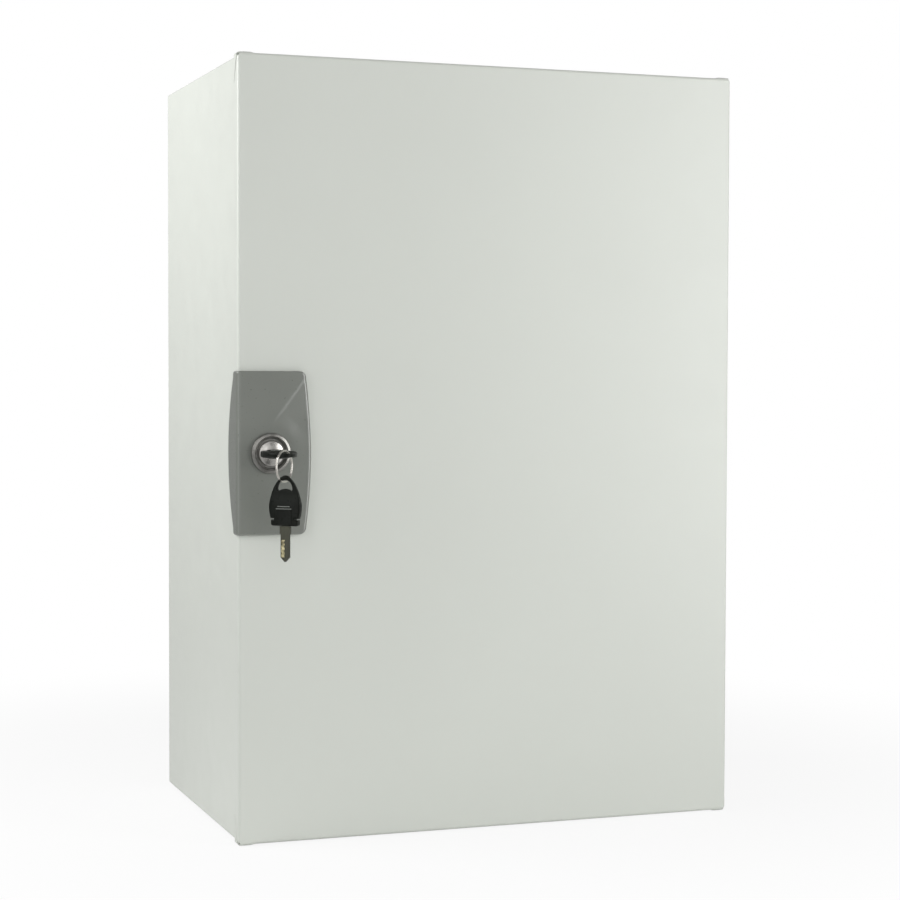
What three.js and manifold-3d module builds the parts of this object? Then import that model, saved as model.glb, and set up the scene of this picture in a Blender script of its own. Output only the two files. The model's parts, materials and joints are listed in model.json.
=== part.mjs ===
// Key cabinet for a wall: a folded steel body, a pan door on concealed pin hinges, a cam lock in a
// plastic housing with its key, ring and spare key, hook rails, and a page that swings out.
// Millimetres, +Z up, the door faces -Y, and the origin is the centre of the back's outer face.
import * as THREE from "three";
import { mergeVertices } from "three/addons/utils/BufferGeometryUtils.js";
import Module from "manifold-3d";

const wasm = await Module();
wasm.setup();

// Overall sizes
const doorWidth = 378;
const doorHeight = 550;
const cabinetDepth = 233;
const sheet = 1.2;

// Clearances
const seat = 0.3; // between pieces that rest on each other
const swingGap = 0.35; // between the swinging door and the body
const overrun = 6; // how far a cutter reaches past what it cuts

// Body
const reveal = 1.2; // the body's sides stand in by this behind the door's edges
const lipWidth = 18;
const wallHoleRadius = 4;
const wallHoleInsetX = 62;
const wallHoleInsetZ = 36;

// Door pan
const flangeDepth = 11;
const earLength = 9; // corners of the pan that bulge where the sheet is folded round
const earHeight = 0.7;

// Door hinges
const hingeInset = 4.2; // from the door's right edge to the hinge axis
const hingeSetback = 6.5; // from the door's front to the hinge axis
const hingePinRadius = 1.5;
const hingeTongue = 2; // thickness of the bracket
const hingeTongueDrop = 5.5; // from the door's folded end to the tongue
const hingeTongueWidth = 9;
const hingePlateWidth = 15;
const hingePlateHeight = 34;

// Hook rails
const hookPitch = 32;
const hookWidth = 2.4;
const hookThickness = 2;
const hookReach = 16;
const hookTip = 7;
const railThickness = 1.5;
const railHeight = 20;
const railEnd = 12;
const lugWidth = 1.6;
const lugHeight = 8;
const lugReach = 4;
const lugPlay = 0.5;

// Slotted uprights
const uprightWidth = 20;
const uprightDepth = 10;
const uprightEnd = 20;
const backRows = 6;
const doorRows = 5;
const rackEnd = 25; // from the end of the back's upright to its last rail
const backUprightMargin = 37.6; // from the body's inner end to the upright
const backRailMargin = 20; // least, from the body's inner side to the rail
const doorUprightMargin = 83.8;
const doorRailMargin = 55;
const doorRackShift = 12; // the door's rails stand right of its centre, clear of the lock
const lugShare = 0.62; // of a rail's length, from lug to lug

// Rivets of the back's uprights
const rivetHeadRadius = 4;
const rivetHead = 1.6;
const rivetRadius = 2;

// Swinging page
const pageDepth = 12;
const pageLipGap = 1.5; // from the lip's inner edge to the page's end, as it swings out
const pageFreeInset = 27.8; // from the body's left side to the page's free edge
const pageAxisInset = 47.8; // from the body's right side to the page's axis
const pageAxisY = 122; // in front of the back
const pageRows = 5;
const pageRailMargin = 20;
const pagePinRadius = 2.5;
const pagePinCollar = 4.5;
const pageHatWidth = 26;
const pageHatFoot = 7;
const pageHatLength = 24;
const pageHatGap = 1.8; // from the page to its brackets
const pagePinHead = 2;

// Door buffers
const bufferRadius = 5;
const bufferStem = 2.5;
const bufferStemLength = 5;
const bufferInsetZ = 34;

// Lock
const lockInset = 22; // from the door's left edge to the lock's axis
const lockDrop = 1.4; // below the door's middle
const barrelRadius = 8.5;
const barrelWall = 2.2;
const bezelRadius = 14.1;
const bezelBore = 10.4;
const bezelHeight = 2.9;
const bezelFloor = 0.9;
const plugHeadRadius = 9;
const plugHeadHeight = 3.5;
const plugRimHeight = 1.6;
const nutAcross = 22;
const nutThickness = 5;
const camThickness = 2.5;
const camWidth = 12;
const camReach = 17.4;
const camGap = 0.7; // between the cam and the strike
const camScrewHead = 4.5;
const camScrewHeadHeight = 2.4;
const camScrewRadius = 1.8;
const camScrewLength = 4;
const strikeThickness = 2;
const strikeHeight = 76;
const notchHeight = 52;
const strikeEdge = 8; // width of the strip that the cam closes behind

// Lock housing
const housingThickness = 4.5;
const housingProud = 1.8; // stands out past the door's left edge
const housingHeight = 114;
const housingWidthEnd = 48.1;
const housingWidthMiddle = 51.6;
const housingWingEnd = 7.7;
const housingWingMiddle = 21.8;
const housingCorner = 4;
const housingScrewInset = 15; // from the housing's end
const housingScrewShift = 8;
const housingScrewRadius = 1.5;
const housingScrewHead = 3.2;
const housingScrewHeadHeight = 1.8;
const housingScrewDepth = 3;

// Keys
const bowLength = 34.2;
const bowWidth = 24;
const bowThickness = 6.2;
const bowRimThickness = 2.6;
const bowHoleWidth = 11;
const bowHoleHeight = 6.6;
const bowHoleDrop = 3.5; // from the bow's tip to the hole
const bowHoleFlare = 0.8; // how much the hole widens at the bow's faces
const bowHoleLand = 0.8; // its straight part in the middle
const bladeWidth = 6.4;
const bladeThickness = 2.2;
const bladeLength = 24.3;
const bladePoint = 3;
const shoulderWidth = 7.8;
const shoulderLength = 5.4;
const tangLength = 11;
const tangWidth = 6;
const keyGap = 0.3;

// Key ring
const ringRadius = 10.6; // to the wire's centre line
const wireRadius = 0.75;
const ringTurn = 45; // degrees from the door's plane to the ring's
const ringShiftX = 2; // the ring's centre, left of the lock's axis
const ringPastHole = 5.3; // and in front of the middle of the bow's hole
const ringDrop = 7.2; // and below the lock's axis
const spareTurn = -43; // degrees from the door's plane to the spare key's
const spareShift = 0.8; // the spare key hangs right of the ring's lowest point

// Finishes
const greyPowder = { color: 0xd3d6cf, roughness: 0.38, metalness: 0 };
const zinc = { color: 0xb4b6b8, roughness: 0.4, metalness: 0.9 };
const railAlloy = { color: 0xc4c6c8, roughness: 0.45, metalness: 0.9 };
const nickel = { color: 0xc9c7c2, roughness: 0.2, metalness: 1 };
const darkSteel = { color: 0x8a8883, roughness: 0.3, metalness: 1 };
const greyPlastic = { color: 0x73756f, roughness: 0.35, metalness: 0 };
const blackPlastic = { color: 0x141513, roughness: 0.4, metalness: 0 };
const blackRubber = { color: 0x202020, roughness: 0.8, metalness: 0 };

// Places that several pieces share
const front = -cabinetDepth;
const doorSkin = front + sheet;
const flangeEnd = front + flangeDepth;
const hingeToEnd = flangeDepth - hingeSetback;
const doorGap = Math.hypot(hingeInset, hingeToEnd) - hingeToEnd + swingGap;
const bodyFront = flangeEnd + doorGap;
const lipBack = bodyFront + sheet;
const halfBody = doorWidth / 2 - reveal;
const halfBodyHeight = doorHeight / 2 - reveal;
const hingeX = doorWidth / 2 - hingeInset;
const hingeY = front + hingeSetback;
const lockX = lockInset - doorWidth / 2;
const housingFront = front - seat - housingThickness;
const strikeBack = lipBack + seat + strikeThickness;
const camFront = strikeBack + camGap;
const bowStart = housingFront - seat - bezelFloor - seat - plugHeadHeight - shoulderLength - seat;

// Racks and page, which follow the body and the door
const backUprightHeight = 2 * (halfBodyHeight - sheet - backUprightMargin);
const doorUprightHeight = doorHeight - 2 * sheet - 2 * doorUprightMargin;
const pageHeight = 2 * (halfBodyHeight - lipWidth - pageLipGap);
const pageLeft = halfBody - pageFreeInset;
const pageAxisX = halfBody - pageAxisInset;
const pageRight = pageAxisX + pageDepth / 2;
const rowPitch = (backUprightHeight - railHeight - 2 * rackEnd) / (backRows - 1);
const backHooks = hooksAlong(2 * (halfBody - sheet - backRailMargin));
const doorHooks = hooksAlong(doorWidth - 2 * sheet - 2 * doorRailMargin);
const pageHooks = hooksAlong(pageLeft + pageRight - 2 * pageRailMargin);

// How many hooks a rail has in a room of some length
function hooksAlong(length) {
  return Math.floor((length - 2 * railEnd) / hookPitch) + 1;
}

// A closed geometry as a solid that can be cut and joined.
function solidOf(geometry) {
  const bare = geometry.clone();
  bare.deleteAttribute("normal");
  bare.deleteAttribute("uv");
  const merged = mergeVertices(bare);
  return new wasm.Manifold(
    new wasm.Mesh({
      numProp: 3,
      vertProperties: merged.attributes.position.array,
      triVerts: new Uint32Array(merged.index.array),
    }),
  );
}

// A box from its lowest to its highest corner.
function block([x0, y0, z0], [x1, y1, z1]) {
  const geometry = new THREE.BoxGeometry(x1 - x0, y1 - y0, z1 - z0);
  geometry.translate((x0 + x1) / 2, (y0 + y1) / 2, (z0 + z1) / 2);
  return solidOf(geometry);
}

// An outline given in the two axes across the named one, in X, Y, Z order, run from one value to another.
function run(outline, axis, from, to, curveSegments = 6) {
  const geometry = new THREE.ExtrudeGeometry(outline, {
    depth: to - from,
    bevelEnabled: false,
    curveSegments,
  });
  geometry.translate(0, 0, from);
  const x = new THREE.Vector3(1, 0, 0);
  const y = new THREE.Vector3(0, 1, 0);
  const z = new THREE.Vector3(0, 0, 1);
  const frames = { x: [y, z, x], y: [x, z, y], z: [x, y, z] };
  geometry.applyMatrix4(new THREE.Matrix4().makeBasis(...frames[axis]));
  if (axis === "y") flip(geometry);
  return solidOf(geometry);
}

// Turns every face of a mirrored geometry round again.
function flip(geometry) {
  const p = geometry.getAttribute("position");
  for (let i = 0; i < p.count; i += 3) {
    const a = new THREE.Vector3().fromBufferAttribute(p, i);
    const b = new THREE.Vector3().fromBufferAttribute(p, i + 1);
    p.setXYZ(i, b.x, b.y, b.z);
    p.setXYZ(i + 1, a.x, a.y, a.z);
  }
}

function polygon(points) {
  return new THREE.Shape(points.map(([a, b]) => new THREE.Vector2(a, b)));
}

// A round bar along an axis, centred on the two other coordinates given in X, Y, Z order.
function rod(axis, radius, from, to, [a, b], sides = 24) {
  const geometry = new THREE.CylinderGeometry(radius, radius, to - from, sides);
  geometry.translate(0, (from + to) / 2, 0);
  if (axis === "z") geometry.rotateX(Math.PI / 2).translate(a, b, 0);
  if (axis === "y") geometry.translate(a, 0, b);
  return solidOf(geometry);
}

// A turned piece from its closed profile of [radius, height], counter-clockwise, about the Y axis.
function turned(profile, sides = 36) {
  const points = profile.map(([r, h]) => new THREE.Vector2(r, h));
  return solidOf(new THREE.LatheGeometry(points, sides));
}

function joined(...solids) {
  return solids.reduce((sum, solid) => sum.add(solid));
}

function cut(solid, ...cutters) {
  return cutters.reduce((rest, cutter) => rest.subtract(cutter), solid);
}

// The mesh of a solid under the name of its piece.
function piece(name, solid, finish) {
  const { vertProperties, triVerts } = solid.getMesh();
  const geometry = new THREE.BufferGeometry();
  geometry.setAttribute("position", new THREE.BufferAttribute(vertProperties, 3));
  geometry.setIndex(new THREE.BufferAttribute(triVerts, 1));
  geometry.computeVertexNormals();
  const mesh = new THREE.Mesh(geometry, new THREE.MeshStandardMaterial(finish));
  mesh.name = name;
  return mesh;
}

function placed(object, x, y, z, turn = 0) {
  object.position.set(x, y, z);
  object.rotation.z = turn;
  return object;
}

// Heights of a number of rows about the middle.
function rows(count) {
  return Array.from({ length: count }, (_, i) => (i - (count - 1) / 2) * rowPitch);
}

// Hook rail: its back at y = 0, hooks towards -Y, and two lugs behind.
function railLength(hooks) {
  return (hooks - 1) * hookPitch + 2 * railEnd;
}

function lugPlaces(hooks) {
  const spread = railLength(hooks) * lugShare;
  return [-spread / 2, spread / 2];
}

function hookRail(name, hooks) {
  const half = railLength(hooks) / 2;
  const hookOutline = polygon([
    [-railThickness / 2, -hookThickness],
    [-railThickness - hookReach + hookThickness, -hookThickness],
    [-railThickness - hookReach, 0],
    [-railThickness - hookReach, hookTip],
    [-railThickness - hookReach + hookThickness, hookTip],
    [-railThickness - hookReach + hookThickness, 0],
    [-railThickness / 2, 0],
  ]);
  const parts = [block([-half, -railThickness, -railHeight / 2], [half, 0, railHeight / 2])];
  for (let i = 0; i < hooks; i += 1) {
    const x = (i - (hooks - 1) / 2) * hookPitch;
    parts.push(run(hookOutline, "x", x - hookWidth / 2, x + hookWidth / 2));
  }
  for (const x of lugPlaces(hooks)) {
    const low = [x - lugWidth / 2, -railThickness / 2, -lugHeight / 2];
    parts.push(block(low, [x + lugWidth / 2, lugReach, lugHeight / 2]));
  }
  return piece(name, joined(...parts), railAlloy);
}

// The slot that a lug hooks into, through a sheet between two depths.
function lugSlot(x, z, from, to) {
  const low = [x - lugWidth / 2 - lugPlay, from, z - lugHeight / 2 - lugPlay];
  return block(low, [x + lugWidth / 2 + lugPlay, to, z + lugHeight / 2 + lugPlay]);
}

// Slotted upright: a channel with its open side at y = 0 and its slotted web towards -Y.
function uprightSolid(length, rowCount) {
  const half = uprightWidth / 2;
  const channel = cut(
    block([-half, -uprightDepth, -length / 2], [half, 0, length / 2]),
    block(
      [-half + sheet, -uprightDepth + sheet, -length / 2 - overrun],
      [half - sheet, overrun, length / 2 + overrun],
    ),
  );
  const slotRows = rows(2 * rowCount - 1).map((z) => z / 2);
  const slots = slotRows.map((z) => lugSlot(0, z, -uprightDepth - overrun, -uprightDepth + overrun));
  return cut(channel, ...slots);
}

// Stepped pin upright on its collar: spigots of one radius reach below and above a collar.
function steppedPin(name, x, y, low, collarLow, collarHigh, high, radius, collarRadius) {
  const spigot = rod("z", radius, low, high, [x, y], 16);
  const collar = rod("z", collarRadius, collarLow, collarHigh, [x, y], 16);
  return piece(name, joined(spigot, collar), zinc);
}

// Cabinet body
const cabinet = new THREE.Group();
const lipInnerX = halfBody - lipWidth;
const lipInnerZ = halfBodyHeight - lipWidth;
const doorEnd = doorHeight / 2 - sheet; // inner face of the door's folded ends
const tongueHigh = doorEnd - hingeTongueDrop;
const tongueLow = tongueHigh - hingeTongue;
const eyeRadius = hingeInset - sheet - seat;
const tongueRight = halfBody - sheet - seat;
const tongueLeft = tongueRight - hingeTongueWidth;

// A piece of the top hinge and its mirror image at the bottom.
function topAndBottom(name, solid, finish) {
  return [piece(`${name}_top`, solid, finish), piece(`${name}_bottom`, solid.mirror([0, 0, 1]), finish)];
}

function lockNotch(from, to) {
  const low = [-halfBody + strikeEdge, from, -lockDrop - notchHeight / 2];
  return block(low, [-lipInnerX + overrun, to, -lockDrop + notchHeight / 2]);
}

function cabinetShell() {
  const shell = cut(
    block([-halfBody, bodyFront, -halfBodyHeight], [halfBody, 0, halfBodyHeight]),
    block(
      [-halfBody + sheet, lipBack, -halfBodyHeight + sheet],
      [halfBody - sheet, overrun, halfBodyHeight - sheet],
    ),
    block([-lipInnerX, bodyFront - overrun, -lipInnerZ], [lipInnerX, lipBack + overrun, lipInnerZ]),
    lockNotch(bodyFront - overrun, lipBack + overrun),
  );
  const slot = block(
    [tongueLeft - seat, bodyFront - overrun, tongueLow - seat],
    [tongueRight + seat, lipBack + sheet, tongueHigh + seat],
  );
  const stem = bufferPlaces().map(([x, z]) =>
    rod("y", bufferStem + seat, bodyFront - overrun, lipBack + overrun, [x, z], 16),
  );
  return piece("cabinet_shell", cut(shell, slot, slot.mirror([0, 0, 1]), ...stem), greyPowder);
}

function wallHolePlaces() {
  const x = halfBody - wallHoleInsetX;
  const z = halfBodyHeight - wallHoleInsetZ;
  return [[-x, -z], [x, -z], [-x, z], [x, z]];
}

const backUprightX = (railLength(backHooks) * lugShare) / 2;
const rivetZ = backUprightHeight / 2 - uprightEnd / 2;

function rivetPlaces() {
  return [[-backUprightX, -rivetZ], [backUprightX, -rivetZ], [-backUprightX, rivetZ], [backUprightX, rivetZ]];
}

function backPanel() {
  const x = halfBody - sheet - seat;
  const z = halfBodyHeight - sheet - seat;
  const wall = wallHolePlaces().map((at) => rod("y", wallHoleRadius, -sheet - overrun, overrun, at));
  const rivets = rivetPlaces().map((at) => rod("y", rivetRadius + seat, -sheet - overrun, overrun, at, 12));
  return piece("back_panel", cut(block([-x, -sheet, -z], [x, 0, z]), ...wall, ...rivets), greyPowder);
}

cabinet.add(cabinetShell(), backPanel());

// Uprights and rails on the back
const backUprightY = -sheet - seat;
const backRailY = backUprightY - uprightDepth - seat;
const rivetHoles = [-rivetZ, rivetZ].map((z) =>
  rod("y", rivetRadius + seat, -uprightDepth - overrun, -uprightDepth + overrun, [0, z], 12),
);
const backUpright = cut(uprightSolid(backUprightHeight, backRows), ...rivetHoles);
["left", "right"].forEach((side, i) => {
  const x = (2 * i - 1) * backUprightX;
  cabinet.add(placed(piece(`back_upright_${side}`, backUpright, zinc), x, backUprightY, 0));
});
rows(backRows).forEach((z, i) => {
  cabinet.add(placed(hookRail(`back_hook_rail_${i + 1}`, backHooks), 0, backRailY, z));
});

// Rivets: a head on the upright's web and a shank into the back
const webFront = backUprightY - uprightDepth;
const rivetSolid = joined(
  rod("y", rivetHeadRadius, webFront - seat - rivetHead, webFront - seat, [0, 0], 16),
  rod("y", rivetRadius, webFront - seat - rivetHead / 2, -seat, [0, 0], 12),
);
rivetPlaces().forEach(([x, z], i) => {
  cabinet.add(placed(piece(`upright_rivet_${i + 1}`, rivetSolid, zinc), x, 0, z));
});

// Concealed door hinges: a plate behind the lip and a tongue through it, with a stepped pin
function hingeBracket() {
  const eye = rod("z", eyeRadius, tongueLow, tongueHigh, [hingeX, hingeY], 24);
  const plateBack = lipBack + seat + hingeTongue;
  const eyeRight = Math.min(tongueRight, hingeX + eyeRadius);
  const tongue = joined(
    block([tongueLeft, hingeY, tongueLow], [tongueRight, plateBack, tongueHigh]),
    block([tongueLeft, hingeY - eyeRadius, tongueLow], [hingeX, hingeY, tongueHigh]),
    eye,
  );
  const neck = block([hingeX, hingeY, tongueLow], [eyeRight, bodyFront - seat, tongueHigh]);
  const plate = block(
    [tongueRight - hingePlateWidth, lipBack + seat, tongueHigh - hingePlateHeight],
    [tongueRight, plateBack, tongueHigh],
  );
  const boreRadius = hingePinRadius + seat / 3;
  const bore = rod("z", boreRadius, tongueLow - overrun, tongueHigh + overrun, [hingeX, hingeY], 16);
  return cut(joined(tongue, neck, plate), bore);
}

cabinet.add(...topAndBottom("hinge_bracket", hingeBracket(), zinc));

const hingePin = steppedPin(
  "hinge_pin_top",
  hingeX,
  hingeY,
  tongueLow - hingeTongue / 2,
  tongueHigh + seat,
  doorEnd - seat,
  doorEnd + sheet,
  hingePinRadius,
  eyeRadius,
);
const lowerPin = piece("hinge_pin_bottom", solidOf(hingePin.geometry).mirror([0, 0, 1]), zinc);
cabinet.add(hingePin, lowerPin);

// Strike behind the lip, round the lock's notch
function strikePlate() {
  const plate = block(
    [-halfBody + sheet + seat, lipBack + seat, -lockDrop - strikeHeight / 2],
    [-lipInnerX, strikeBack, -lockDrop + strikeHeight / 2],
  );
  return piece("strike_plate", cut(plate, lockNotch(lipBack - overrun, strikeBack + overrun)), zinc);
}

cabinet.add(strikePlate());

// Rubber buffers on the lip, that the closed door rests on
function bufferPlaces() {
  const x = -halfBody + lipWidth / 2;
  const z = halfBodyHeight - lipWidth - bufferInsetZ;
  return [[x, z], [x, -z]];
}

const bufferSolid = joined(
  rod("y", bufferRadius, doorSkin + seat, bodyFront - seat, [0, 0], 20),
  rod("y", bufferStem, doorSkin + bufferRadius, lipBack + bufferStemLength, [0, 0], 16),
);
bufferPlaces().forEach(([x, z], i) => {
  const name = ["door_buffer_top", "door_buffer_bottom"][i];
  cabinet.add(placed(piece(name, bufferSolid, blackRubber), x, 0, z));
});

// Hat brackets and stepped pins that carry the page
const pageY = -pageAxisY;
const hatLow = pageHeight / 2 + pageHatGap;
const hatHigh = halfBodyHeight - sheet - seat;

function pageBracket() {
  const w = pageHatWidth / 2;
  const hat = polygon([
    [-w, hatLow],
    [w, hatLow],
    [w, hatHigh - sheet],
    [w + pageHatFoot, hatHigh - sheet],
    [w + pageHatFoot, hatHigh],
    [w - sheet, hatHigh],
    [w - sheet, hatLow + sheet],
    [-w + sheet, hatLow + sheet],
    [-w + sheet, hatHigh],
    [-w - pageHatFoot, hatHigh],
    [-w - pageHatFoot, hatHigh - sheet],
    [-w, hatHigh - sheet],
  ]);
  const halfLength = pageHatLength / 2;
  const solid = run(hat, "y", pageY - halfLength, pageY + halfLength).translate([pageAxisX, 0, 0]);
  const bore = rod("z", pagePinRadius + seat, hatLow - overrun, hatLow + overrun, [pageAxisX, pageY], 16);
  return cut(solid, bore);
}

cabinet.add(...topAndBottom("page_bracket", pageBracket(), zinc));

function pagePin() {
  const at = [pageAxisX, pageY];
  const headLow = hatLow + sheet + seat;
  return joined(
    rod("z", pagePinRadius, pageHeight / 2 - 2 * pagePinHead, headLow + pagePinHead / 2, at, 16),
    rod("z", pagePinCollar, headLow, headLow + pagePinHead, at, 16),
    rod("z", pagePinCollar, pageHeight / 2 + seat, hatLow - seat, at, 16),
  );
}

cabinet.add(...topAndBottom("page_pin", pagePin(), zinc));

// Door pan, with its bulged corners, the hinge side's notches and the holes for pins and lock
const door = new THREE.Group();
const housingScrewX = lockX + housingScrewShift;
const housingScrewRise = housingHeight / 2 - housingScrewInset;
const housingScrewPlaces = [-1, 1].map((side) => [housingScrewX, -lockDrop + side * housingScrewRise]);

function doorPanel() {
  const w = doorWidth / 2;
  const h = doorHeight / 2;
  const pan = cut(
    block([-w, front, -h], [w, flangeEnd, h]),
    block([-w + sheet, doorSkin, -h + sheet], [w - sheet, flangeEnd + overrun, h - sheet]),
  );
  const ears = [-1, 1].flatMap((sx) =>
    [-1, 1].map((sz) => {
      const xs = [sx * w, sx * (w - earLength)].sort((a, b) => a - b);
      const zs = [sz * (h + earHeight), sz * (h - sheet)].sort((a, b) => a - b);
      return block([xs[0], front + sheet / 2, zs[0]], [xs[1], flangeEnd, zs[1]]);
    }),
  );
  const notch = block(
    [w - sheet - seat, doorSkin, tongueLow - 2 * seat],
    [w + overrun, flangeEnd + overrun, doorEnd],
  );
  const pinHole = rod("z", hingePinRadius + seat, doorEnd - overrun, h + overrun, [hingeX, hingeY], 16);
  const holes = [
    notch,
    notch.mirror([0, 0, 1]),
    pinHole,
    pinHole.mirror([0, 0, 1]),
    rod("y", barrelRadius + seat, front - overrun, doorSkin + overrun, [lockX, -lockDrop], 32),
    ...housingScrewPlaces.map((at) =>
      rod("y", housingScrewRadius + seat, front - overrun, doorSkin + overrun, at, 12),
    ),
  ];
  return piece("door_panel", cut(joined(pan, ...ears), ...holes), greyPowder);
}

door.add(doorPanel());

const doorUprightX = (railLength(doorHooks) * lugShare) / 2;
const doorUpright = uprightSolid(doorUprightHeight, doorRows);
["left", "right"].forEach((side, i) => {
  const x = doorRackShift + (2 * i - 1) * doorUprightX;
  const upright = piece(`door_upright_${side}`, doorUpright, zinc);
  door.add(placed(upright, x, doorSkin + seat, 0, Math.PI));
});
rows(doorRows).forEach((z, i) => {
  const rail = hookRail(`door_hook_rail_${i + 1}`, doorHooks);
  door.add(placed(rail, doorRackShift, doorSkin + seat + uprightDepth + seat, z, Math.PI));
});

// Lock housing: a front wing with a bowed edge and a side wing round the door's edge
function bowedOutline(straight, end, middle, corner) {
  const half = housingHeight / 2;
  const outline = new THREE.Shape();
  outline.moveTo(straight, -half + corner);
  outline.quadraticCurveTo(straight, -half, straight + Math.sign(end - straight) * corner, -half);
  outline.lineTo(end - Math.sign(end - straight) * corner, -half);
  outline.quadraticCurveTo(end, -half, end, -half + corner);
  outline.quadraticCurveTo(2 * middle - end, 0, end, half - corner);
  outline.quadraticCurveTo(end, half, end - Math.sign(end - straight) * corner, half);
  outline.lineTo(straight + Math.sign(end - straight) * corner, half);
  outline.quadraticCurveTo(straight, half, straight, half - corner);
  return outline;
}

function lockHousing() {
  const left = -doorWidth / 2 - housingProud;
  const face = bowedOutline(
    left,
    -doorWidth / 2 + housingWidthEnd,
    -doorWidth / 2 + housingWidthMiddle,
    housingCorner,
  );
  const frontWing = run(face, "y", housingFront, front - seat);
  const side = bowedOutline(
    housingFront,
    front + housingWingEnd,
    front + housingWingMiddle,
    housingCorner / 2,
  );
  const sideWing = run(side, "x", left, -doorWidth / 2 - seat);
  const bore = rod("y", barrelRadius + seat, -overrun, housingThickness + overrun, [lockX, 0], 32);
  const holeRadius = housingScrewRadius + seat / 2;
  const holeEnd = front - seat - housingScrewDepth;
  const screwHoles = housingScrewPlaces.map(([x, z]) =>
    rod("y", holeRadius, holeEnd, front + overrun, [x, z + lockDrop], 12),
  );
  const solid = cut(joined(frontWing, sideWing), bore.translate([0, housingFront, 0]), ...screwHoles);
  return placed(piece("lock_housing", solid, greyPlastic), 0, 0, -lockDrop);
}

door.add(lockHousing());

const housingScrew = joined(
  rod("y", housingScrewHead, doorSkin + seat, doorSkin + seat + housingScrewHeadHeight, [0, 0], 16),
  rod("y", housingScrewRadius, front - housingScrewDepth, doorSkin + housingScrewHeadHeight, [0, 0], 12),
);
housingScrewPlaces.forEach(([x, z], i) => {
  door.add(placed(piece(`housing_screw_${["bottom", "top"][i]}`, housingScrew, zinc), x, 0, z));
});

// Bezel, barrel and nut, turned about the lock's axis; heights run inwards from the housing's face
const lockFixed = placed(new THREE.Group(), lockX, 0, -lockDrop);
const bezelBack = housingFront - seat;
const bezelStep = bezelHeight / 3;

function lockBezel() {
  const inner = barrelRadius + seat;
  return turned([
    [inner, bezelBack],
    [inner, bezelBack - bezelFloor],
    [bezelBore, bezelBack - bezelFloor],
    [bezelBore, bezelBack - bezelHeight + bezelStep / 2],
    [bezelBore + bezelStep / 2, bezelBack - bezelHeight],
    [bezelRadius - bezelStep, bezelBack - bezelHeight],
    [bezelRadius, bezelBack - bezelStep],
    [bezelRadius, bezelBack],
    [inner, bezelBack],
  ]);
}

const barrelFront = bezelBack - bezelFloor;
const barrelBack = camFront - 2 * seat;
const plugRadius = barrelRadius - barrelWall - seat;

function lockBarrel() {
  const tube = rod("y", barrelRadius, barrelFront, barrelBack, [0, 0], 32);
  const bore = rod("y", plugRadius + seat, barrelFront - overrun, barrelBack + overrun, [0, 0], 32);
  return cut(tube, bore);
}

function lockNut() {
  const low = doorSkin + seat;
  const hex = rod("y", nutAcross / Math.sqrt(3), low, low + nutThickness, [0, 0], 6);
  const bore = rod("y", barrelRadius + seat, low - overrun, low + nutThickness + overrun, [0, 0], 32);
  return cut(hex, bore);
}

lockFixed.add(
  piece("lock_bezel", lockBezel(), darkSteel),
  piece("lock_barrel", lockBarrel(), nickel),
  piece("lock_nut", lockNut(), zinc),
);
door.add(lockFixed);

// Plug with its domed head and keyway, and the cam screwed to its end
const lockCore = placed(new THREE.Group(), lockX, 0, -lockDrop);
const headBack = barrelFront - seat;
const crown = headBack - plugHeadHeight;
const plugEnd = camFront - seat;
const bladeTip = bowStart + bladeLength;

function lockPlug() {
  const dome = turned([
    [0, headBack],
    [0, crown],
    [plugHeadRadius / 3, crown + plugRimHeight / 6],
    [(plugHeadRadius * 2) / 3, crown + plugRimHeight / 2],
    [plugHeadRadius, crown + plugRimHeight],
    [plugHeadRadius, headBack],
    [0, headBack],
  ]);
  const stem = rod("y", plugRadius, headBack - plugRimHeight / 2, plugEnd, [0, 0], 28);
  const slotHalf = bladeThickness / 2 + keyGap;
  const bladeHalf = bladeWidth / 2 + keyGap;
  const keyway = block([-bladeHalf, crown - overrun, -slotHalf], [bladeHalf, bladeTip + keyGap, slotHalf]);
  const holeEnd = plugEnd - camScrewLength - seat;
  const hole = rod("y", camScrewRadius + seat / 2, holeEnd, plugEnd + overrun, [0, 0], 12);
  return cut(joined(dome, stem), keyway, hole);
}

const camBack = camFront + camThickness;

function lockCam() {
  const half = camWidth / 2;
  const bar = joined(
    block([-half, camFront, -camReach], [half, camBack, 0]),
    rod("y", half, camFront, camBack, [0, 0], 24),
  );
  return cut(bar, rod("y", camScrewRadius + seat, camFront - overrun, camBack + overrun, [0, 0], 12));
}

const camScrew = joined(
  rod("y", camScrewHead, camBack + seat, camBack + seat + camScrewHeadHeight, [0, 0], 16),
  rod("y", camScrewRadius, plugEnd - camScrewLength, camBack + camScrewHeadHeight, [0, 0], 12),
);
lockCore.add(
  piece("lock_plug", lockPlug(), nickel),
  piece("lock_cam", lockCam(), zinc),
  piece("cam_screw", camScrew, zinc),
);

// Key: its bow upwards from z = 0, its blade downwards, flat in the XZ plane. The shares give the
// right half of the bow's outline: four ends of stretches, and the handles of the curves between.
const bowEndShares = [[0.86, 0], [0.88, 0.14], [0.98, 0.44], [0.36, 0.93]];
const bowHandleShares = [[1.02, 0.3], [0.84, 0.76], [0, 1.07]];
const bowHoleRoundShare = 0.9; // of the hole's half width, where its arch turns
const bowThinShare = 1.3; // of the hole's height, thinned down from its top

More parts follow.
